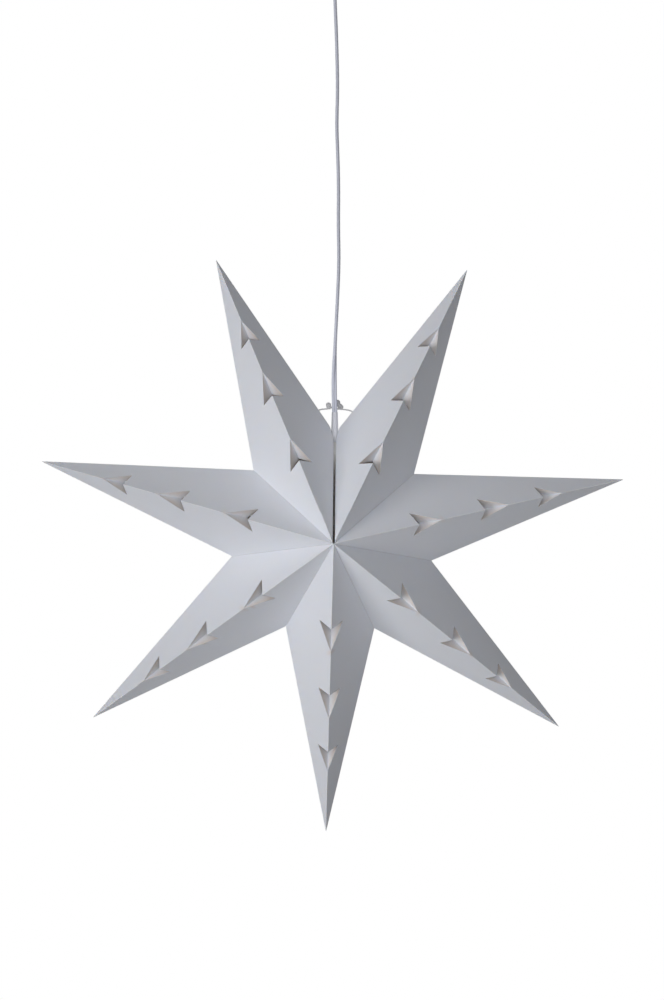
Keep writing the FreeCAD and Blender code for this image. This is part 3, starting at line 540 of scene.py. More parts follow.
def sheath_material(name, colour, groove_shade, pale_share):
    """Soft sheath: satin, slightly blue, greyer with painted shade where the groove attribute is set (the grooves
    beside the flex's cores, one side of the sleeve), and paler near the star with painted light.
    """
    surface = Surface(name, roughness=0.4, specular=0.5, Coat_Weight=0.1, Coat_Roughness=0.3)
    tone = surface.grained(70.0, 2500.0, 0.4, (0.00003, 0.5), (0.34, 0.48), (1.0, 1.0, 0.3))
    groove = surface.split(surface.attribute("groove"))[0]
    level = surface.split(surface.place())[2]
    base = surface.mixed(tone, shaded(colour, 0.93), shaded(colour, 1.03))
    # painted light: the sheath is made paler as it nears the star
    near_star = surface.ranged(level, -0.38, -0.50, 0.0, pale_share)
    base = surface.mixed(near_star, base, shaded(colour, 1.3))
    # painted shade where the groove attribute is set
    surface.colour(surface.mixed(groove, base, shaded(colour, groove_shade), amount=0.7))
    return surface.material


def globe_material(settings):
    """The opal globe: milky, a little light let through, with a faint cloud in the milk."""
    surface = Surface(
        "opal_globe",
        roughness=0.35,
        specular=0.5,
        Subsurface_Weight=0.35,
        Subsurface_Scale=0.004,
        Coat_Weight=0.2,
        Coat_Roughness=0.12,
    )
    surface.shader.inputs["Subsurface Radius"].default_value = (1.0, 0.9, 0.8)
    tone = surface.grained(40.0, 900.0, 0.3, (0.00001, 0.4), (0.3, 0.42))
    colour = tuple(settings.globe_colour)
    surface.colour(surface.mixed(tone, shaded(colour, 0.97), shaded(colour, 1.02)))
    return surface.material


def core_material():
    """The two bared cores: one brown and one blue sheath, told apart by which side of the lamp they are on."""
    surface = Surface("core_insulation", roughness=0.45, specular=0.5)
    tone = surface.grained(200.0, 2500.0, 0.5, (0.00002, 0.5))
    side = surface.ranged(surface.split(surface.place())[0], -0.0001, 0.0001, 0.0, 1.0)
    pair = surface.mixed(side, (0.19, 0.075, 0.03), (0.03, 0.13, 0.42))
    surface.colour(surface.mixed(tone, pair, (0.1, 0.1, 0.12), amount=0.25))
    return surface.material


# ---------------------------------------------------------------- settings


def length(name, description, default, **limits):
    return bpy.props.FloatProperty(name=name, description=description, default=default, unit="LENGTH", **limits)


def share(name, description, default):
    return bpy.props.FloatProperty(name=name, description=description, default=default, subtype="FACTOR")


def tint(name, description, default):
    return bpy.props.FloatVectorProperty(name=name, description=description, default=default, subtype="COLOR")


def bearing(name, description, default):
    return bpy.props.FloatProperty(name=name, description=description, default=default, subtype="ANGLE")


def power(name, description, default):
    return bpy.props.FloatProperty(name=name, description=description, default=default, unit="POWER")


class PendantStarSettings(bpy.types.PropertyGroup):
    """The folded star and its ties."""

    board: length("Board", "Thickness of the star's board", 0.0004, min=0.0001)
    bulge: length("Bulge", "How far a panel bows out or in at its middle", 0.0009)
    # width of the painted highlight beside a fold and of the painted shade beside a seam
    painted_line_width: length("Fold line", "Width of the broken fibres beside a fold", 0.0007)
    mottle: share("Mottle", "How strongly the board's tone clouds", 0.015)
    outside: tint("Outside", "Board, outer face", (0.786, 0.801, 0.857))
    # painted shade: the inner face's warm brown stands in for the dim light inside the star
    inside: tint("Inside", "Board, inner face", (0.78, 0.66, 0.57))
    # painted shade: the warm brown given to a tongue beside its outer folds, where it lies in the slit's dim light
    tongue_shade_colour: tint("Tongue", "Board of a tongue beside its outer folds", (0.68, 0.59, 0.53))
    # painted shade: how dark the tips are painted against the rest of the board
    painted_tip_shade: share("Tip shade", "Tone of the handled tips against the rest", 0.86)
    # painted highlight: the paler colour along the folds
    fold_highlight_colour: tint("Fold", "Broken fibres along the folds", (0.9, 0.9, 0.92))
    string_colour: tint("String", "Cotton of the ties", (0.84, 0.84, 0.86))


class PendantFlexSettings(bpy.types.PropertyGroup):
    """The flat two-core flex."""

    width: length("Width", "Width over both cores", 0.0054, min=0.001)
    thickness: length("Thickness", "Thickness of one sheathed core", 0.0032, min=0.001)
    colour: tint("Colour", "Sheath", (0.50, 0.515, 0.60))
    sleeve_colour: tint("Sleeve", "Cord sleeve", (0.80, 0.81, 0.88))


class PendantLampSettings(bpy.types.PropertyGroup):
    """The lamp holder, the bulb and the ceiling fitting."""

    plastic: tint("Plastic", "Holder and ball", (0.80, 0.80, 0.80))
    cup: tint("Cup", "Ceiling cup and its ring", (0.82, 0.82, 0.82))
    globe_colour: tint("Globe", "Opal globe", (0.88, 0.88, 0.86))
    edge: length("Edge", "Softening of moulded edges", 0.0003)


class PendantStageSettings(bpy.types.PropertyGroup):
    """Camera, lights and floor."""

    distance: length("Distance", "Camera to the star", 2.5)
    azimuth: bearing("Azimuth", "Camera's bearing from the front", math.radians(-1.0))
    elevation: bearing("Elevation", "Camera above the level", math.radians(4.8))
    sky: bpy.props.FloatProperty(name="Sky", description="Even light from all round", default=SKY_STRENGTH)
    key: power("Key", "Soft light from the left", KEY_WATTS)
    top: power("Top", "Soft light from above on the left", TOP_WATTS)
    front: power("Front", "Soft light from the front", FRONT_WATTS)
    fill: power("Fill", "Soft light from the right", FILL_WATTS)
    floor_level: length("Floor", "Floor below the ceiling", -2.4)


# ---------------------------------------------------------------- camera and flex


class PENDANT_OT_camera(bpy.types.Operator):
    """Places the camera that sees the lamp as it was photographed"""

    bl_idname = "pendant.camera"
    bl_label = "Camera"

    def execute(self, context):
        stage = context.scene.pendant_stage
        back = Vector(
            (
                math.sin(stage.azimuth) * math.cos(stage.elevation),
                -math.cos(stage.azimuth) * math.cos(stage.elevation),
                math.sin(stage.elevation),
            )
        )
        data = bpy.data.cameras.new("camera")
        data.sensor_fit = "VERTICAL"
        data.sensor_height = data.sensor_width = SENSOR_HEIGHT
        data.lens = FOCAL_SHARE * stage.distance * SENSOR_HEIGHT
        data.clip_start = 0.05
        data.clip_end = 50.0
        camera = bpy.data.objects.new("camera", data)
        camera.location = CAMERA_TARGET + back * stage.distance
        camera.rotation_mode = "QUATERNION"
        camera.rotation_quaternion = (-back).to_track_quat("-Z", "Y")
        context.scene.collection.objects.link(camera)
        context.scene.camera = camera
        return {"FINISHED"}


# the flex's route from the cord sleeve up to the ball, in metres
FLEX_ROUTE = (
    (0.0, 0.0, -0.5152),
    (-0.0009, 0.0, -0.488),
    (0.0001, 0.0, -0.450),
    (0.0023, 0.0, -0.409),
    (0.0044, 0.0, -0.364),
    (0.0035, 0.0, -0.327),
    (0.0039, 0.0, -0.289),
    (0.0029, 0.0, -0.253),
    (0.0018, 0.0, -0.226),
    (0.0030, 0.0, -0.190),
    (0.0017, 0.0, -0.137),
    (-0.0003, 0.0, -0.095),
    (0.0, 0.0, -0.0553),
)


class PENDANT_OT_flex(bpy.types.Operator):
    """Makes the flat flex that hangs from the ball and turns its flat side to the front near the star"""

    bl_idname = "pendant.flex"
    bl_label = "Flex"

    def execute(self, context):
        settings = context.scene.pendant_flex
        path = spaced(smooth_path(FLEX_ROUTE, "flex_line"), 0.002)
        core = settings.thickness / 2
        apart = settings.width / 2 - core
        swing = math.pi - math.acos(apart / core)
        turn = np.linspace(-swing, swing, 17)[:-1]
        one_side = np.stack([apart + core * np.cos(turn), core * np.sin(turn)], axis=-1)
        profile = np.concatenate([one_side, -one_side])
        height = np.clip((path[:, 2] + 0.500) / 0.060, 0, 1)
        ease = height * height * (3 - 2 * height)
        angle = ease * math.radians(84)
        across = np.stack([np.cos(angle), np.sin(angle), 0 * angle], axis=-1)
        # marks the groove between the two cores, where the sheath gets painted shade
        groove = np.repeat((np.abs(profile[:, 0]) < 0.25 * apart).astype(float)[None], len(path) + 2, axis=0)
        sheath = sheath_material("flex_sheath", tuple(settings.colour), 0.6, 0.9)
        flex = carried("flex_cord", path, profile, across, [sheath], attributes={"groove": in_first(groove)})
        dress(flex, "drop", "flex")
        return {"FINISHED"}


# ---------------------------------------------------------------- the folded points


def seam_side(out, gap):
    """The side coordinate of a seam at a distance out, drawn back from the sector's plane by a gap."""
    return (out * math.sin(SECTOR) - gap) / math.cos(SECTOR)


def crease_side(out):
    """The side coordinate of the side crease, where front and back panels meet."""
    return ROOT_WIDTH * (1 - out / APEX)


def panel_patches(gap, root, root_side):
    """The corners, as (out, side), of the flat patches between ridge, cut-outs, seam and crease."""
    notch_out = (ROOT_WIDTH + gap / math.cos(SECTOR)) / (ROOT_WIDTH / APEX + math.tan(SECTOR))
    notch = (notch_out, crease_side(notch_out))

    def rim(out):
        return (out, seam_side(out, gap)) if out < notch_out else (out, crease_side(out))

    start = (root, root_side)
    patches = []
    ridge, edge = start, start
    for number, ((barbs, arrow, slit, half), rulings) in enumerate(zip(CUT_OUTS, RULINGS)):
        slit_at, barb_at, arrow_at = (slit, 0.0), (barbs, half), (arrow, 0.0)
        from_slit, from_barb, from_arrow = (rim(out) for out in rulings)
        patches.append((ridge, slit_at, from_slit, edge))
        patches.append((slit_at, barb_at, from_barb, from_slit))
        if number == 0:
            patches.append((barb_at, barb_at, notch, from_barb))
            patches.append((barb_at, arrow_at, from_arrow, notch))
        else:
            patches.append((barb_at, arrow_at, from_arrow, from_barb))
        ridge, edge = arrow_at, from_arrow
    patches.append((ridge, (TIP, 0.0), rim(TIP), edge))
    return np.array(patches)


def on_panel(flat):
    """Local (out, depth, side) of (out, side): depth = DEPTH (1 - out / APEX - |side| / ROOT_WIDTH)."""
    out, side = flat[..., 0], flat[..., 1]
    depth = DEPTH * (1 - out / APEX - np.abs(side) / ROOT_WIDTH)
    return np.stack([out, depth, side], axis=-1)


def tongue_corners():
    """Barb, arrow point and pushed-in slit middle of each cut-out, in local (out, depth, side).
    The pushed-in point is the slit's middle mirrored in the plane through both barbs and the arrow point,
    less a little that the board's spring takes back."""
    corners = []
    for barbs, arrow, slit, half in CUT_OUTS:
        barb = on_panel(np.array([barbs, half]))
        point = on_panel(np.array([arrow, 0.0]))
        middle = barb * np.array([1, 1, 0])
        ridge = on_panel(np.array([slit, 0.0]))
        normal = np.cross(point - middle, np.array([0, 0, 1.0]))
        normal /= np.linalg.norm(normal)
        pushed = ridge - TONGUE_TURN * np.dot(ridge - middle, normal) * normal - np.array([TONGUE_SPRING, 0, 0])
        corners.append((barb, point, point, pushed))
    return np.array(corners)


def ruled(corners, steps):
    """Bilinear patches: (1-u)(1-v) a + u(1-v) b + u v c + (1-u) v d, on an even grid of u and v."""
    u = np.linspace(0, 1, steps + 1)[None, :, None, None]
    v = np.linspace(0, 1, steps + 1)[None, None, :, None]
    a, b, c, d = (corners[:, number][:, None, None] for number in range(4))
    return (1 - u) * (1 - v) * a + u * (1 - v) * b + u * v * c + (1 - u) * v * d


def panel_shares(flat):
    """The shares of notch and tip in a place on a panel, the rest being the star's front or back centre's:
    notch = |side| / NOTCH_SIDE, and tip = (out - notch NOTCH_OUT) / APEX."""
    to_notch = np.abs(flat[..., -1]) / NOTCH_SIDE
    return to_notch, (flat[..., 0] - to_notch * NOTCH_OUT) / APEX


def bowed(local, flat, amount, normal):
    """Bows a panel by amount at its middle: 27 times the product of the shares of centre, tip and notch."""
    to_notch, to_tip = panel_shares(flat)
    rest = 1 - to_notch - to_tip
    return local + (27 * amount * to_notch * to_tip * rest)[..., None] * normal


def settled(local, number, front, flank):
    """A mirrored panel with its tip moved and its seam kept: the tip's move times the tip's share."""
    tip_share = panel_shares(local)[1][..., None]
    outwards, sideways = SETTLED[number]
    return local * np.array([1, front, flank]) + tip_share * np.array([outwards, 0, sideways])


def panel_grids(gap, root, root_side, bulge):
    """One panel's patches: their places, the outward normal, the distances to ridge, crease and seam, and the
    attribute for painted shade, whose second part grows to 1 at the tip, where the board is painted darker."""
    flat = ruled(panel_patches(gap, root, root_side), STEPS)
    local = on_panel(flat)
    normal = np.array([1 / APEX, 1 / DEPTH, 1 / ROOT_WIDTH])
    normal /= np.linalg.norm(normal)
    local = bowed(local, flat, bulge, normal)
    ridge_far = np.abs(flat[..., 1]) / math.hypot(1, DEPTH / ROOT_WIDTH) * 1.3
    crease_far = local[..., 1] * 0.9
    seam_far = flat[..., 0] * math.sin(SECTOR) - gap - flat[..., 1] * math.cos(SECTOR)
    distances = np.stack([ridge_far, crease_far, seam_far], axis=-1)
    # painted shade grows with this share towards the tip
    shade_at_tip = panel_shares(local)[1]
    return local, normal, distances, np.stack([0 * shade_at_tip, shade_at_tip, 0 * shade_at_tip], axis=-1)


def tongue_grids():
    """The tongues' patches in the same form: the painted-shade attribute has 1 in its first part on a tongue's outer
    folds, where the tongue is painted a shaded brown, and fades to its valley."""
    local = ruled(tongue_corners(), STEPS)
    to_valley = np.broadcast_to(np.linspace(0, 1, STEPS + 1), local.shape[:3])
    far = 0 * to_valley + 0.02
    distances = np.stack([to_valley * 0.012 + 0.0002, far, far], axis=-1)
    return local, np.array([0.15, 1.0, 0.0]), distances, in_first(1 - to_valley)


def facing_out(faces, local, wanted):
    """Turns the quads round whose normal points against the wanted one at their first corner."""
    corner = local[faces]
    facing = np.cross(corner[:, 2] - corner[:, 0], corner[:, 3] - corner[:, 1])
    inward = (facing * wanted[faces[:, 0]]).sum(1) < 0
    faces[inward] = faces[inward][:, ::-1]
    return faces


def given_thickness(piece, board):
    """Thickens a piece inwards and keeps the result as its mesh, so that its rims get sharp edges too."""
    thicken = piece.modifiers.new("board", "SOLIDIFY")
    thicken.thickness = board
    thicken.offset = -1.0
    thicken.use_even_offset = False
    thicken.material_offset = 1
    depsgraph = bpy.context.evaluated_depsgraph_get()
    thick = bpy.data.meshes.new_from_object(
        piece.evaluated_get(depsgraph), preserve_all_data_layers=True, depsgraph=depsgraph
    )
    piece.modifiers.clear()
    piece.data = thick
    thick.set_sharp_from_angle(angle=math.radians(BOARD_BEND))


def folded_point(number, settings, materials):
    """One folded sheet: four panels with their arrow cut-outs and the tongues that are pushed in."""
    out, side = point_directions(number)
    low = OPEN_SEAM_GAP if number == -LAST_POINT else SEAM_GAP
    high = OPEN_SEAM_GAP if number == LAST_POINT else SEAM_GAP
    root = (low + high) / (2 * math.sin(SECTOR))
    root_side = seam_side(root, high)
    draw = np.random.default_rng(40 + number)
    parts = []
    for front in (-1, 1):
        for flank, gap in ((1, high), (-1, low)):
            bulge = settings.bulge * draw.uniform(-1, 1)
            for grids in (panel_grids(gap, root, flank * root_side, bulge), tongue_grids()):
                places, normal, distances, tucked = grids
                normals = np.broadcast_to(normal * np.array([1, front, flank]), places.shape)
                parts.append((settled(places, number, front, flank), normals, distances, tucked))
    local, wanted, distances, tucked = (
        np.concatenate([array.reshape(-1, 3) for array in arrays]) for arrays in zip(*parts)
    )
    corners = (STEPS + 1) ** 2
    patches = np.arange(len(local) // corners)[:, None, None] * corners
    faces = (grid_faces(STEPS + 1, STEPS + 1)[None] + patches).reshape(-1, 4)
    faces = facing_out(faces, local, wanted)
    world = STAR_CENTRE + local[:, :1] * out + local[:, 1:2] * np.array([0, 1.0, 0]) + local[:, 2:] * side
    if abs(number) == LAST_POINT:
        world = opened_for_sleeve(world, wanted, out, side)
    name = "paper_point_" + POINT_BODIES[number][0]
    # the painted-shade attribute carries the painted shade of the tongues and the tips
    attributes = {"fold_distances": distances, "tucked": tucked}
    piece = new_piece(name, world, faces, materials, attributes, closed=False, sharp=BOARD_BEND)
    given_thickness(piece, settings.board)
    return piece, side


def opened_for_sleeve(world, wanted, out, side):
    """Moves the board away from the cord sleeve's axis, so that it clears a round hole, and keeps it in its plane:
    the new distance is sqrt(distance^2 + hole^2 (1 - distance / reach)^2)."""
    hole, reach = 0.0049, 0.016
    normal = wanted[:, :1] * out + wanted[:, 1:2] * np.array([0, 1.0, 0]) + wanted[:, 2:] * side
    near = np.hypot(world[:, 0], world[:, 1])
    above = world[:, 2] > STAR_CENTRE[2] + 0.6 * NOTCH
    fade = np.clip(1 - near / reach, 0, 1) * above
    grown = np.sqrt(near**2 + (hole * fade) ** 2)
    shift = world[:, :2] * (grown / np.maximum(near, 1e-9) - 1)[:, None]
    drop = (normal[:, 0] * shift[:, 0] + normal[:, 1] * shift[:, 1]) / normal[:, 2]
    moved = world.copy()
    moved[:, :2] += shift
    moved[:, 2] -= np.where(fade > 0, drop, 0)
    return moved


class PENDANT_OT_star(bpy.types.Operator):
    """Makes the seven folded points with their arrow cut-outs"""

    bl_idname = "pendant.star"
    bl_label = "Star"

    def execute(self, context):
        settings = context.scene.pendant_star
        outside = board_material("star_board_outside", settings, tuple(settings.outside))
        # the inner face gets a warm brown as painted shade for the dim light inside the star
        inside = board_material("star_board_inside", settings, tuple(settings.inside))
        for number, (name, body) in POINT_BODIES.items():
            piece, side = folded_point(number, settings, [outside, inside])
            dress(piece, body, "point_" + name)
            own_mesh(piece)
        return {"FINISHED"}


# ---------------------------------------------------------------- ties


def strand_profile(radius, count, twist, steps):
    """A laid string's section along its length: radius (0.84 + 0.16 lobe), where lobe is
    (1 + cos(3 (angle - twist))) / 2 for three strands."""
    angle = np.linspace(0, 2 * np.pi, count, endpoint=False)
    turn = (np.arange(steps) * twist)[:, None]
    lobes = 0.5 + 0.5 * np.cos(3 * (angle[None] - turn))
    reach = radius * (0.84 + 0.16 * lobes)
    profile = np.stack([reach * np.cos(angle), reach * np.sin(angle)], axis=-1)
    return profile, lobes


def string_piece(name, path, radius, materials, closed_path=False, across=(0.0, 0.1, 1.0)):
    """A laid cotton string along a path."""
    path = spaced(path, 0.0005)
    if closed_path:
        path = path[:-1]
    profile, lobes = strand_profile(radius, 12, 0.35, len(path))
    if not closed_path:
        lobes = np.concatenate([lobes[:1], lobes, lobes[-1:]])
    return carried(name, path, profile, across, materials, closed_path, {"strand": in_first(lobes)})


def eyelet(number, side):
    """The eyelet on the back panel beside the free edge, and the panel's outward normal."""
    out, sideways = point_directions(number)
    y = np.array([0.0, 1.0, 0.0])
    notch = NOTCH_OUT * out + side * NOTCH_SIDE * sideways
    along = APEX * out - notch
    along /= np.linalg.norm(along)
    back = DEPTH * y - notch
    normal = np.cross(along, back)
    normal /= np.linalg.norm(normal)
    normal = normal * np.sign(normal[1])
    inward = back - along * (back @ along)
    inward /= np.linalg.norm(inward)
    return STAR_CENTRE + notch + along * EYELET_ALONG + inward * EYELET_IN, normal


def joined(name, pieces):
    """Several meshes as one piece."""
    with bpy.context.temp_override(
        active_object=pieces[0], selected_objects=pieces, selected_editable_objects=pieces
    ):
        bpy.ops.object.join()
    pieces[0].name = name
    return pieces[0]


KNOT = np.array([0.0, 0.0059, -0.5102])

# each loop of the bow: middle (sideways, back, up) from the knot, half its width and height, and its lean
LOOPS = {
    "right": (((0.0032, 0.0, 0.0046), (0.0011, 0.0021), 0.15), ((0.0058, 0.0006, 0.0012), (0.0019, 0.0011), -0.7)),
    "left": (((-0.0062, 0.0, 0.0022), (0.0011, 0.0019), 0.1),),
}


def bow_loop(middle, half, lean):
    """An ellipse of string, leaning by an angle: middle + half width cos a + half height sin a, turned by lean."""
    angle = np.linspace(0, 2 * np.pi, 40)
    wide, high = half[0] * np.cos(angle), half[1] * np.sin(angle)
    return np.stack(
        [
            middle[0] + wide * math.cos(lean) - high * math.sin(lean),
            middle[1] + 0.0005 * np.sin(2 * angle),
            middle[2] + wide * math.sin(lean) + high * math.cos(lean),
        ],
        axis=-1,
    )


class PENDANT_OT_ties(bpy.types.Operator):
    """Makes the two tie strings, their bow behind the flex and the string beads at the eyelets that hold them"""

    bl_idname = "pendant.ties"
    bl_label = "Ties"

    def execute(self, context):
        settings = context.scene.pendant_star
        cotton = string_material(settings)
        for name, number, side in (("right", LAST_POINT, 1), ("left", -LAST_POINT, -1)):
            spot, normal = eyelet(number, side)
            bead = spot + normal * 0.0015
            end = KNOT + np.array([0.0 if side == 1 else -0.0042, 0.0, -0.0008])
            near = 0.75 * bead + 0.25 * end + np.array([0.0, 0.0003, 0.0012])
            far = 0.35 * bead + 0.65 * end + np.array([0.0, 0.0003, 0.0004])
            run = smooth_path([bead, near, far, end], "string_line")
            parts = [string_piece("string_run", run, STRING_RADIUS, [cotton])]
            for centre, half, lean in LOOPS[name]:
                loop = bow_loop(KNOT + np.array(centre), half, lean)
                parts.append(string_piece("string_loop", loop, LOOP_RADIUS, [cotton], True, (0.0, 1.0, 0.0)))
            turns = np.linspace(0, 2 * np.pi, 28)
            for height, lean in ((-0.0009, 0.3), (0.0006, -0.3)) if side == 1 else ((0.0, 0.2),):
                wrap = np.stack(
                    [
                        end[0] + 0.0014 * np.cos(turns),
                        KNOT[1] + 0.0012 * np.sin(turns),
                        KNOT[2] + height + lean * 0.0015 * np.cos(turns),
                    ],
                    axis=-1,
                )
                parts.append(string_piece("string_knot", wrap, 0.0009, [cotton], True, (0.0, 0.1, 1.0)))
            for radius, lift in ((0.0010, 0.0), (0.0009, 0.0012)):
                circle = np.linspace(0, 2 * np.pi, 24)
                across = np.cross(normal, [1.0, 0.0, 0.0])
                across /= np.linalg.norm(across)
                other = np.cross(normal, across)
                bead_ring = bead + normal * (lift - 0.0006)
                ring = bead_ring + radius * 0.6 * (
                    np.cos(circle)[:, None] * across + np.sin(circle)[:, None] * other
                )
                parts.append(string_piece("string_bead", ring, 0.0006, [cotton], True, normal))
            piece = joined("tie_%s" % name, parts)
            body = "fold_upper_" + name
            dress(piece, body, "tie_string_" + name)
            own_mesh(piece)
        return {"FINISHED"}


# ---------------------------------------------------------------- lamp holder and bulb


def between(node):
    """Lowest and highest level of a node."""
    low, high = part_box(node)
    return low.z, high.z


def grooved_sleeve(outline, level, materials):
    """The cord sleeve: its outline turned about the vertical, drawn in along two grooves between its cores:
    radius (1 - 0.2 g), where g = exp(-((angle - groove) / 0.22)^2), for the part above its flange.
    The attribute groove holds painted shade down the sleeve's front-left side, beside one of them."""
    radius, height = outline.T
    angle = np.linspace(0, 2 * np.pi, 96, endpoint=False)
    groove = np.zeros(angle.shape)
    for middle in (math.radians(248), math.radians(68)):
        apart = (angle - middle + math.pi) % (2 * math.pi) - math.pi
        groove += np.exp(-((apart / 0.22) ** 2))
    above = (height > 0.0014).astype(float)
    reach = radius[:, None] * (1 - 0.2 * groove[None] * above[:, None])
    level_of = np.broadcast_to(height[:, None] + level, reach.shape)
    points = np.stack([reach * np.cos(angle), reach * np.sin(angle), level_of], axis=-1)
    # painted shade down the sleeve's front-left side
    side_shade = np.exp(-(((angle - math.radians(208)) / 0.5) ** 2)) * above[:, None]
    faces = grid_faces(len(radius), 96, True, True)
    return new_piece("sleeve", points, faces, materials, {"groove": in_first(side_shade)})


def thread_surface(name, radius, wall, depth, pitch, low, high, materials, crown=None):
    """A rolled screw shell: radius + depth cos(2 pi z / pitch - angle) faded at both ends, with an inner wall
    that follows it."""
    rows, columns = 140, 72
    angle = np.linspace(0, 2 * np.pi, columns, endpoint=False)[None]
    share = np.linspace(0, 1, rows)[:, None]
    height = low + (high - low) * share
    fade = np.clip(np.minimum(share, 1 - share) / 0.12, 0, 1)
    wave = depth * fade * (0.5 + 0.5 * np.cos(2 * np.pi * (height - low) / pitch - angle))
    outer = radius - wave
    if crown is not None:
        taper = np.clip((share - 0.86) / 0.14, 0, 1)
        outer = outer + (crown - outer) * (1 - np.sqrt(1 - taper**2))
    inner = outer - wall
    rings = []
    for reach, level in ((outer, height), (inner[::-1], height[::-1])):
        level = np.broadcast_to(level, reach.shape)
        rings.append(np.stack([reach * np.cos(angle), reach * np.sin(angle), level], axis=-1))
    return new_piece(name, np.concatenate(rings), grid_faces(2 * rows, columns, True, True), materials, sharp=60)


class PENDANT_OT_holder(bpy.types.Operator):
    """Makes the cord sleeve and the lamp holder's cap, shell, core and screw shell"""

    bl_idname = "pendant.holder"
    bl_label = "Lamp holder"

    def execute(self, context):
        lamp = context.scene.pendant_lamp
        plastic = moulded_material("holder_plastic", tuple(lamp.plastic), 0.4)
        sheath = sheath_material("sleeve_sheath", tuple(context.scene.pendant_flex.sleeve_colour), 0.3, 0.0)
        ceramic = moulded_material("insulating_core", (0.80, 0.78, 0.72), 0.62, 120.0, 1600.0, 0.00004)
        brass = metal_material("holder_brass", (0.72, 0.52, 0.24), 0.3)
        low, high = between("cord_sleeve")
        rise = high - low
        corners = [(0.0, 0.0), (0.0053, 0.0), (0.0053, 0.0012), (0.0039, 0.0012), (0.0039, 0.0048)]
        corners += [(0.0030, rise), (0.0, rise)]
        radii = [0, 0.0003, 0.0003, 0.0002, 0.0012, 0.0007, 0]
        sleeve = grooved_sleeve(round_outline(corners, radii), low, [sheath])
        dress(sleeve, "drop", "cord_sleeve")
        low, high = between("holder_cap")
        corners = [(0.0124, 0.0), (0.014, 0.0), (0.014, 0.012), (0.0053, high - low), (0.00395, high - low)]
        corners += [(0.00395, high - low - 0.0016), (0.00535, high - low - 0.0016)]
        corners += [(0.00535, high - low - 0.0028), (0.0124, 0.0104)]
        radii = [0.0003, 0.0005, 0.002, 0.0008, 0.0002, 0.0001, 0.0001, 0.0001, 0.001]
        cap = turned("holder_top", round_outline(corners, radii), low, [plastic])
        dress(cap, "drop", "holder_cap")
        low, high = between("holder_shell")
        corners = [(0.0085, 0.0), (0.0125, 0.0), (0.014, 0.003)]
        for rib in range(9):
            foot = 0.0055 + 0.0026 * rib
            corners += [(0.014, foot), (0.01325, foot + 0.0004), (0.01325, foot + 0.0012), (0.014, foot + 0.0016)]
        corners += [(0.014, 0.033), (0.01235, 0.033), (0.01235, 0.039), (0.0108, 0.039), (0.0108, 0.002)]
        corners += [(0.0085, 0.002)]
        shell = turned("holder_body", corners, low, [plastic], bevel=lamp.edge * 0.5)
        dress(shell, "drop", "holder_shell")
        low, high = between("holder_insert")
        rise = high - low
        corners = [(0.00755, 0.0), (0.01075, 0.0), (0.01075, rise), (0.00185, rise), (0.00185, rise - 0.003)]
        corners += [(0.00755, rise - 0.003)]
        core = turned("holder_core", corners, low, [ceramic], bevel=lamp.edge)
        dress(core, "drop", "holder_insert")
        low, high = between("screw_shell")
        shell = thread_surface("holder_thread", 0.0075, 0.0005, 0.00025, 0.00282, low, high, [brass])
        dress(shell, "drop", "screw_shell")
        finish_nodes({"centre_contact": brass})
        return {"FINISHED"}


class PENDANT_OT_bulb(bpy.types.Operator):
    """Makes the bulb's screw cap, collar and opal globe, and finishes the board, insulator and contact inside it"""

    bl_idname = "pendant.bulb"
    bl_label = "Bulb"

    def execute(self, context):
        lamp = context.scene.pendant_lamp
        rolled = metal_material("lamp_cap_metal", (0.66, 0.66, 0.65), 0.28)
        collar_plastic = moulded_material("bulb_plastic", (0.84, 0.84, 0.83), 0.4)
        board = moulded_material("led_board_white", (0.82, 0.82, 0.80), 0.5, 300.0)
        black = moulded_material("black_glass", (0.02, 0.02, 0.022), 0.18, 200.0, 2000.0, 0.00001)
        low, high = between("bulb_cap")
        cap = thread_surface(
            "bulb_thread", 0.00675, 0.0005, 0.00045, 0.00282, low, high, [rolled], crown=0.0042
        )
        dress(cap, "drop", "bulb_cap")
        low, high = between("bulb_collar")
        corners = [(0.0, 0.0), (0.018, 0.0), (0.017, 0.0062), (0.0076, 0.0163), (0.00675, 0.0204)]
        corners += [(0.0062, 0.0204), (0.0062, high - low), (0.0, high - low)]
        radii = [0, 0.0012, 0.004, 0.003, 0.0004, 0.0002, 0.0002, 0]
        collar = turned("bulb_body", round_outline(corners, radii, 7), low, [collar_plastic])
        dress(collar, "drop", "bulb_collar")
        low, high = between("bulb_globe")
        radius, wall = 0.0225, 0.0012
        top = math.asin(0.6)
        outer = np.linspace(-np.pi / 2, top, 40)
        inner = np.linspace(math.asin(0.6 * radius / (radius - wall)), -np.pi / 2, 40)
        outline = np.concatenate(
            [
                np.stack([radius * np.cos(outer), radius * np.sin(outer)], axis=-1),
                np.stack([(radius - wall) * np.cos(inner), (radius - wall) * np.sin(inner)], axis=-1),
            ]
        )
        globe = turned("bulb_bowl", np.abs(outline) * np.sign(outline), low + radius, [globe_material(lamp)])
        dress(globe, "drop", "bulb_globe")
        finish_nodes({"bulb_insulator": black, "bulb_contact": rolled, "led_board": board})
        return {"FINISHED"}


# ---------------------------------------------------------------- ceiling fitting


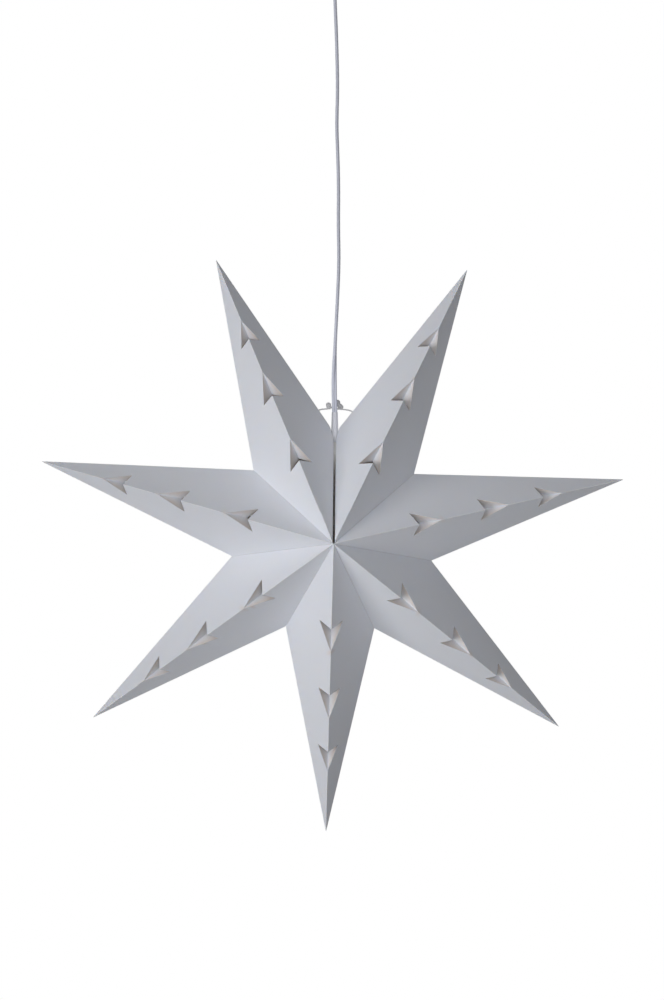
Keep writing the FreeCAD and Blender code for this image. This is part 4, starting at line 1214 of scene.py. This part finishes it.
class PENDANT_OT_ceiling(bpy.types.Operator):
    """Makes the ceiling cup, its socket ring and ball, and finishes the bracket, terminals and screws"""

    bl_idname = "pendant.ceiling"
    bl_label = "Ceiling fitting"

    def execute(self, context):
        lamp = context.scene.pendant_lamp
        plastic = moulded_material("cup_plastic", tuple(lamp.cup), 0.36, 40.0)
        zinc = metal_material("zinc_steel", (0.58, 0.59, 0.60), 0.36, (1.0, 14.0, 1.0))
        brass = metal_material("terminal_brass", (0.72, 0.52, 0.24), 0.34)
        terminal = moulded_material("terminal_plastic", (0.82, 0.82, 0.80), 0.5, 150.0)
        holder = moulded_material("ball_plastic", tuple(lamp.plastic), 0.38)
        low, high = between("ceiling_cup")
        rise = high - low
        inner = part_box("socket_ring")[1].x - 0.003
        corners = [(inner, 0.0), (0.027, 0.0), (0.038, 0.0096), (0.040, rise), (0.0384, rise)]
        corners += [(0.0364, 0.0104), (0.0262, 0.0016), (inner, 0.0016)]
        radii = [0, 0.006, 0.008, 0.0006, 0.0006, 0.008, 0.006, 0]
        cup = turned("cup", round_outline(corners, radii, 9), low, [plastic], segments=128)
        dress(cup, "ceiling_fitting", "ceiling_cup")
        low, high = between("socket_ring")
        seat = 0.0091
        centre = BALL_LEVEL - low
        bottom = np.arcsin(-(centre - 0.0002) / seat)
        sweep = np.linspace(np.arcsin((high - low - centre) / seat), bottom, 20)
        bowl = np.stack([seat * np.cos(sweep), centre + seat * np.sin(sweep)], axis=-1)
        ring = [(bowl[-1, 0], 0.0), (0.0122, 0.0), (0.0122, 0.0045), (0.0152, 0.0045), (0.0152, 0.0061)]
        ring += [(0.0122, 0.0061), (0.0122, high - low)]
        outline = np.concatenate([np.array(ring), bowl])
        socket = turned("cup_ring", outline, low, [plastic], bevel=lamp.edge * 0.6, segments=96)
        dress(socket, "ceiling_fitting", "socket_ring")
        ball_radius, bore = 0.009, 0.0027
        end = math.asin(math.sqrt(1 - (bore / ball_radius) ** 2))
        sweep = np.linspace(-end, end, 48)
        arc = np.stack([ball_radius * np.cos(sweep), ball_radius * np.sin(sweep)], axis=-1)
        ball = turned("ball", arc, BALL_LEVEL, [holder], segments=96)
        dress(ball, "swivel", "swivel_ball")
        finish_nodes({"ceiling_bracket": zinc, "cup_screws": zinc, "grip_screw": zinc})
        finish_nodes({"terminal_block": terminal, "terminal_screws": brass, "bared_cores": core_material()})
        return {"FINISHED"}


# ---------------------------------------------------------------- stage


def white_for_camera(tree, ordinary, white, share=1.0):
    """Shows a share of a white shader to the camera and in gloss and glass, and the ordinary one to other rays."""
    nodes, links = tree.nodes, tree.links
    path = nodes.new("ShaderNodeLightPath")
    chosen = path.outputs["Is Camera Ray"]
    for ray in ("Is Glossy Ray", "Is Transmission Ray"):
        larger = nodes.new("ShaderNodeMath")
        larger.operation = "MAXIMUM"
        links.new(chosen, larger.inputs[0])
        links.new(path.outputs[ray], larger.inputs[1])
        chosen = larger.outputs[0]
    scale = nodes.new("ShaderNodeMath")
    scale.operation = "MULTIPLY"
    scale.inputs[1].default_value = share
    links.new(chosen, scale.inputs[0])
    mix = nodes.new("ShaderNodeMixShader")
    for socket, source in zip(mix.inputs, (scale.outputs[0], ordinary, white)):
        links.new(source, socket)
    return mix.outputs[0]


# each soft lamp: the way to it from the star, and its width
LAMPS = {
    "key": ((-0.77, -0.63, -0.06), 1.6),
    "top": ((-0.45, -0.55, 0.70), 1.8),
    "front": ((0.05, -1.0, 0.05), 1.8),
    "fill": ((0.70, -0.70, -0.15), 1.8),
}
LAMP_DISTANCE = 3.0
FLOOR_HALF = 4.0
# brightness of the floor's white for the camera, and its share; the rest keeps the shadow
FLOOR_GLOW = 1.07
FLOOR_WHITE_SHARE = 0.9


class PENDANT_OT_stage(bpy.types.Operator):
    """Makes the floor, the even sky and the soft lamps"""

    bl_idname = "pendant.stage"
    bl_label = "Stage"

    def execute(self, context):
        scene, stage = context.scene, context.scene.pendant_stage
        scene.view_settings.view_transform = "Standard"
        world = bpy.data.worlds.new("sky")
        scene.world = world
        world.use_nodes = True
        tree = world.node_tree
        tree.nodes.clear()
        output = tree.nodes.new("ShaderNodeOutputWorld")
        even, white = tree.nodes.new("ShaderNodeBackground"), tree.nodes.new("ShaderNodeBackground")
        even.inputs["Color"].default_value = (0.96, 0.98, 1.0, 1.0)
        even.inputs["Strength"].default_value = stage.sky
        white.inputs["Color"].default_value = (1.0, 1.0, 1.0, 1.0)
        white.inputs["Strength"].default_value = 1.0
        tree.links.new(white_for_camera(tree, even.outputs[0], white.outputs[0]), output.inputs["Surface"])

        corners = ((-1, -1), (1, -1), (1, 1), (-1, 1))
        points = [(x * FLOOR_HALF, y * FLOOR_HALF, stage.floor_level) for x, y in corners]
        pale = Surface("floor_pale", roughness=0.9, specular=0.1)
        grain = pale.group(grain_group(), Coarse_Scale=1.5, Fine_Scale=60.0)
        pale.colour(pale.mixed(grain.outputs["Tone"], (0.80, 0.80, 0.80), (0.84, 0.84, 0.84)))
        glow = pale.node("ShaderNodeEmission")
        glow.inputs["Strength"].default_value = FLOOR_GLOW
        seen = white_for_camera(pale.tree, pale.shader.outputs["BSDF"], glow.outputs[0], FLOOR_WHITE_SHARE)
        pale.link(seen, pale.tree.nodes["Material Output"].inputs["Surface"])
        floor = new_piece("floor", points, [(0, 1, 2, 3)], [pale.material], closed=False)

        for name, (towards, across) in LAMPS.items():
            towards = Vector(towards).normalized()
            data = bpy.data.lights.new(name, "AREA")
            data.shape = "SQUARE"
            data.size = across
            data.energy = getattr(stage, name)
            lamp = bpy.data.objects.new(name, data)
            lamp.location = Vector(STAR_CENTRE) + towards * LAMP_DISTANCE
            lamp.rotation_mode = "QUATERNION"
            lamp.rotation_quaternion = towards.to_track_quat("Z", "Y")
            lamp.visible_camera = False
            scene.collection.objects.link(lamp)
        return {"FINISHED"}


# ---------------------------------------------------------------- panel and run


class PENDANT_PT_panel(bpy.types.Panel):
    """Lists the pendant's steps and settings"""

    bl_idname = "PENDANT_PT_panel"
    bl_label = "Paper star pendant"
    bl_space_type = "VIEW_3D"
    bl_region_type = "UI"
    bl_category = "Pendant"

    def draw(self, context):
        for operator in OPERATORS:
            self.layout.operator(operator.bl_idname)
        for name in SETTINGS:
            group = getattr(context.scene, name)
            for setting in group.bl_rna.properties.keys():
                if setting not in ("rna_type", "name"):
                    self.layout.prop(group, setting)


OPERATORS = (
    PENDANT_OT_camera,
    PENDANT_OT_flex,
    PENDANT_OT_star,
    PENDANT_OT_ties,
    PENDANT_OT_holder,
    PENDANT_OT_bulb,
    PENDANT_OT_ceiling,
    PENDANT_OT_stage,
)
SETTINGS = {
    "pendant_star": PendantStarSettings,
    "pendant_flex": PendantFlexSettings,
    "pendant_lamp": PendantLampSettings,
    "pendant_stage": PendantStageSettings,
}


def register():
    for group in SETTINGS.values():
        bpy.utils.register_class(group)
    for operator in OPERATORS:
        bpy.utils.register_class(operator)
    bpy.utils.register_class(PENDANT_PT_panel)
    for name, group in SETTINGS.items():
        setattr(bpy.types.Scene, name, bpy.props.PointerProperty(type=group))


def unregister():
    for name in SETTINGS:
        delattr(bpy.types.Scene, name)
    bpy.utils.unregister_class(PENDANT_PT_panel)
    for operator in reversed(OPERATORS):
        bpy.utils.unregister_class(operator)
    for group in reversed(list(SETTINGS.values())):
        bpy.utils.unregister_class(group)


def main():
    register()
    bpy.ops.pendant.camera()
    bpy.ops.pendant.flex()
    bpy.ops.pendant.star()
    bpy.ops.pendant.ties()
    bpy.ops.pendant.holder()
    bpy.ops.pendant.bulb()
    bpy.ops.pendant.ceiling()
    bpy.ops.pendant.stage()


if __name__ == "__main__":
    main()
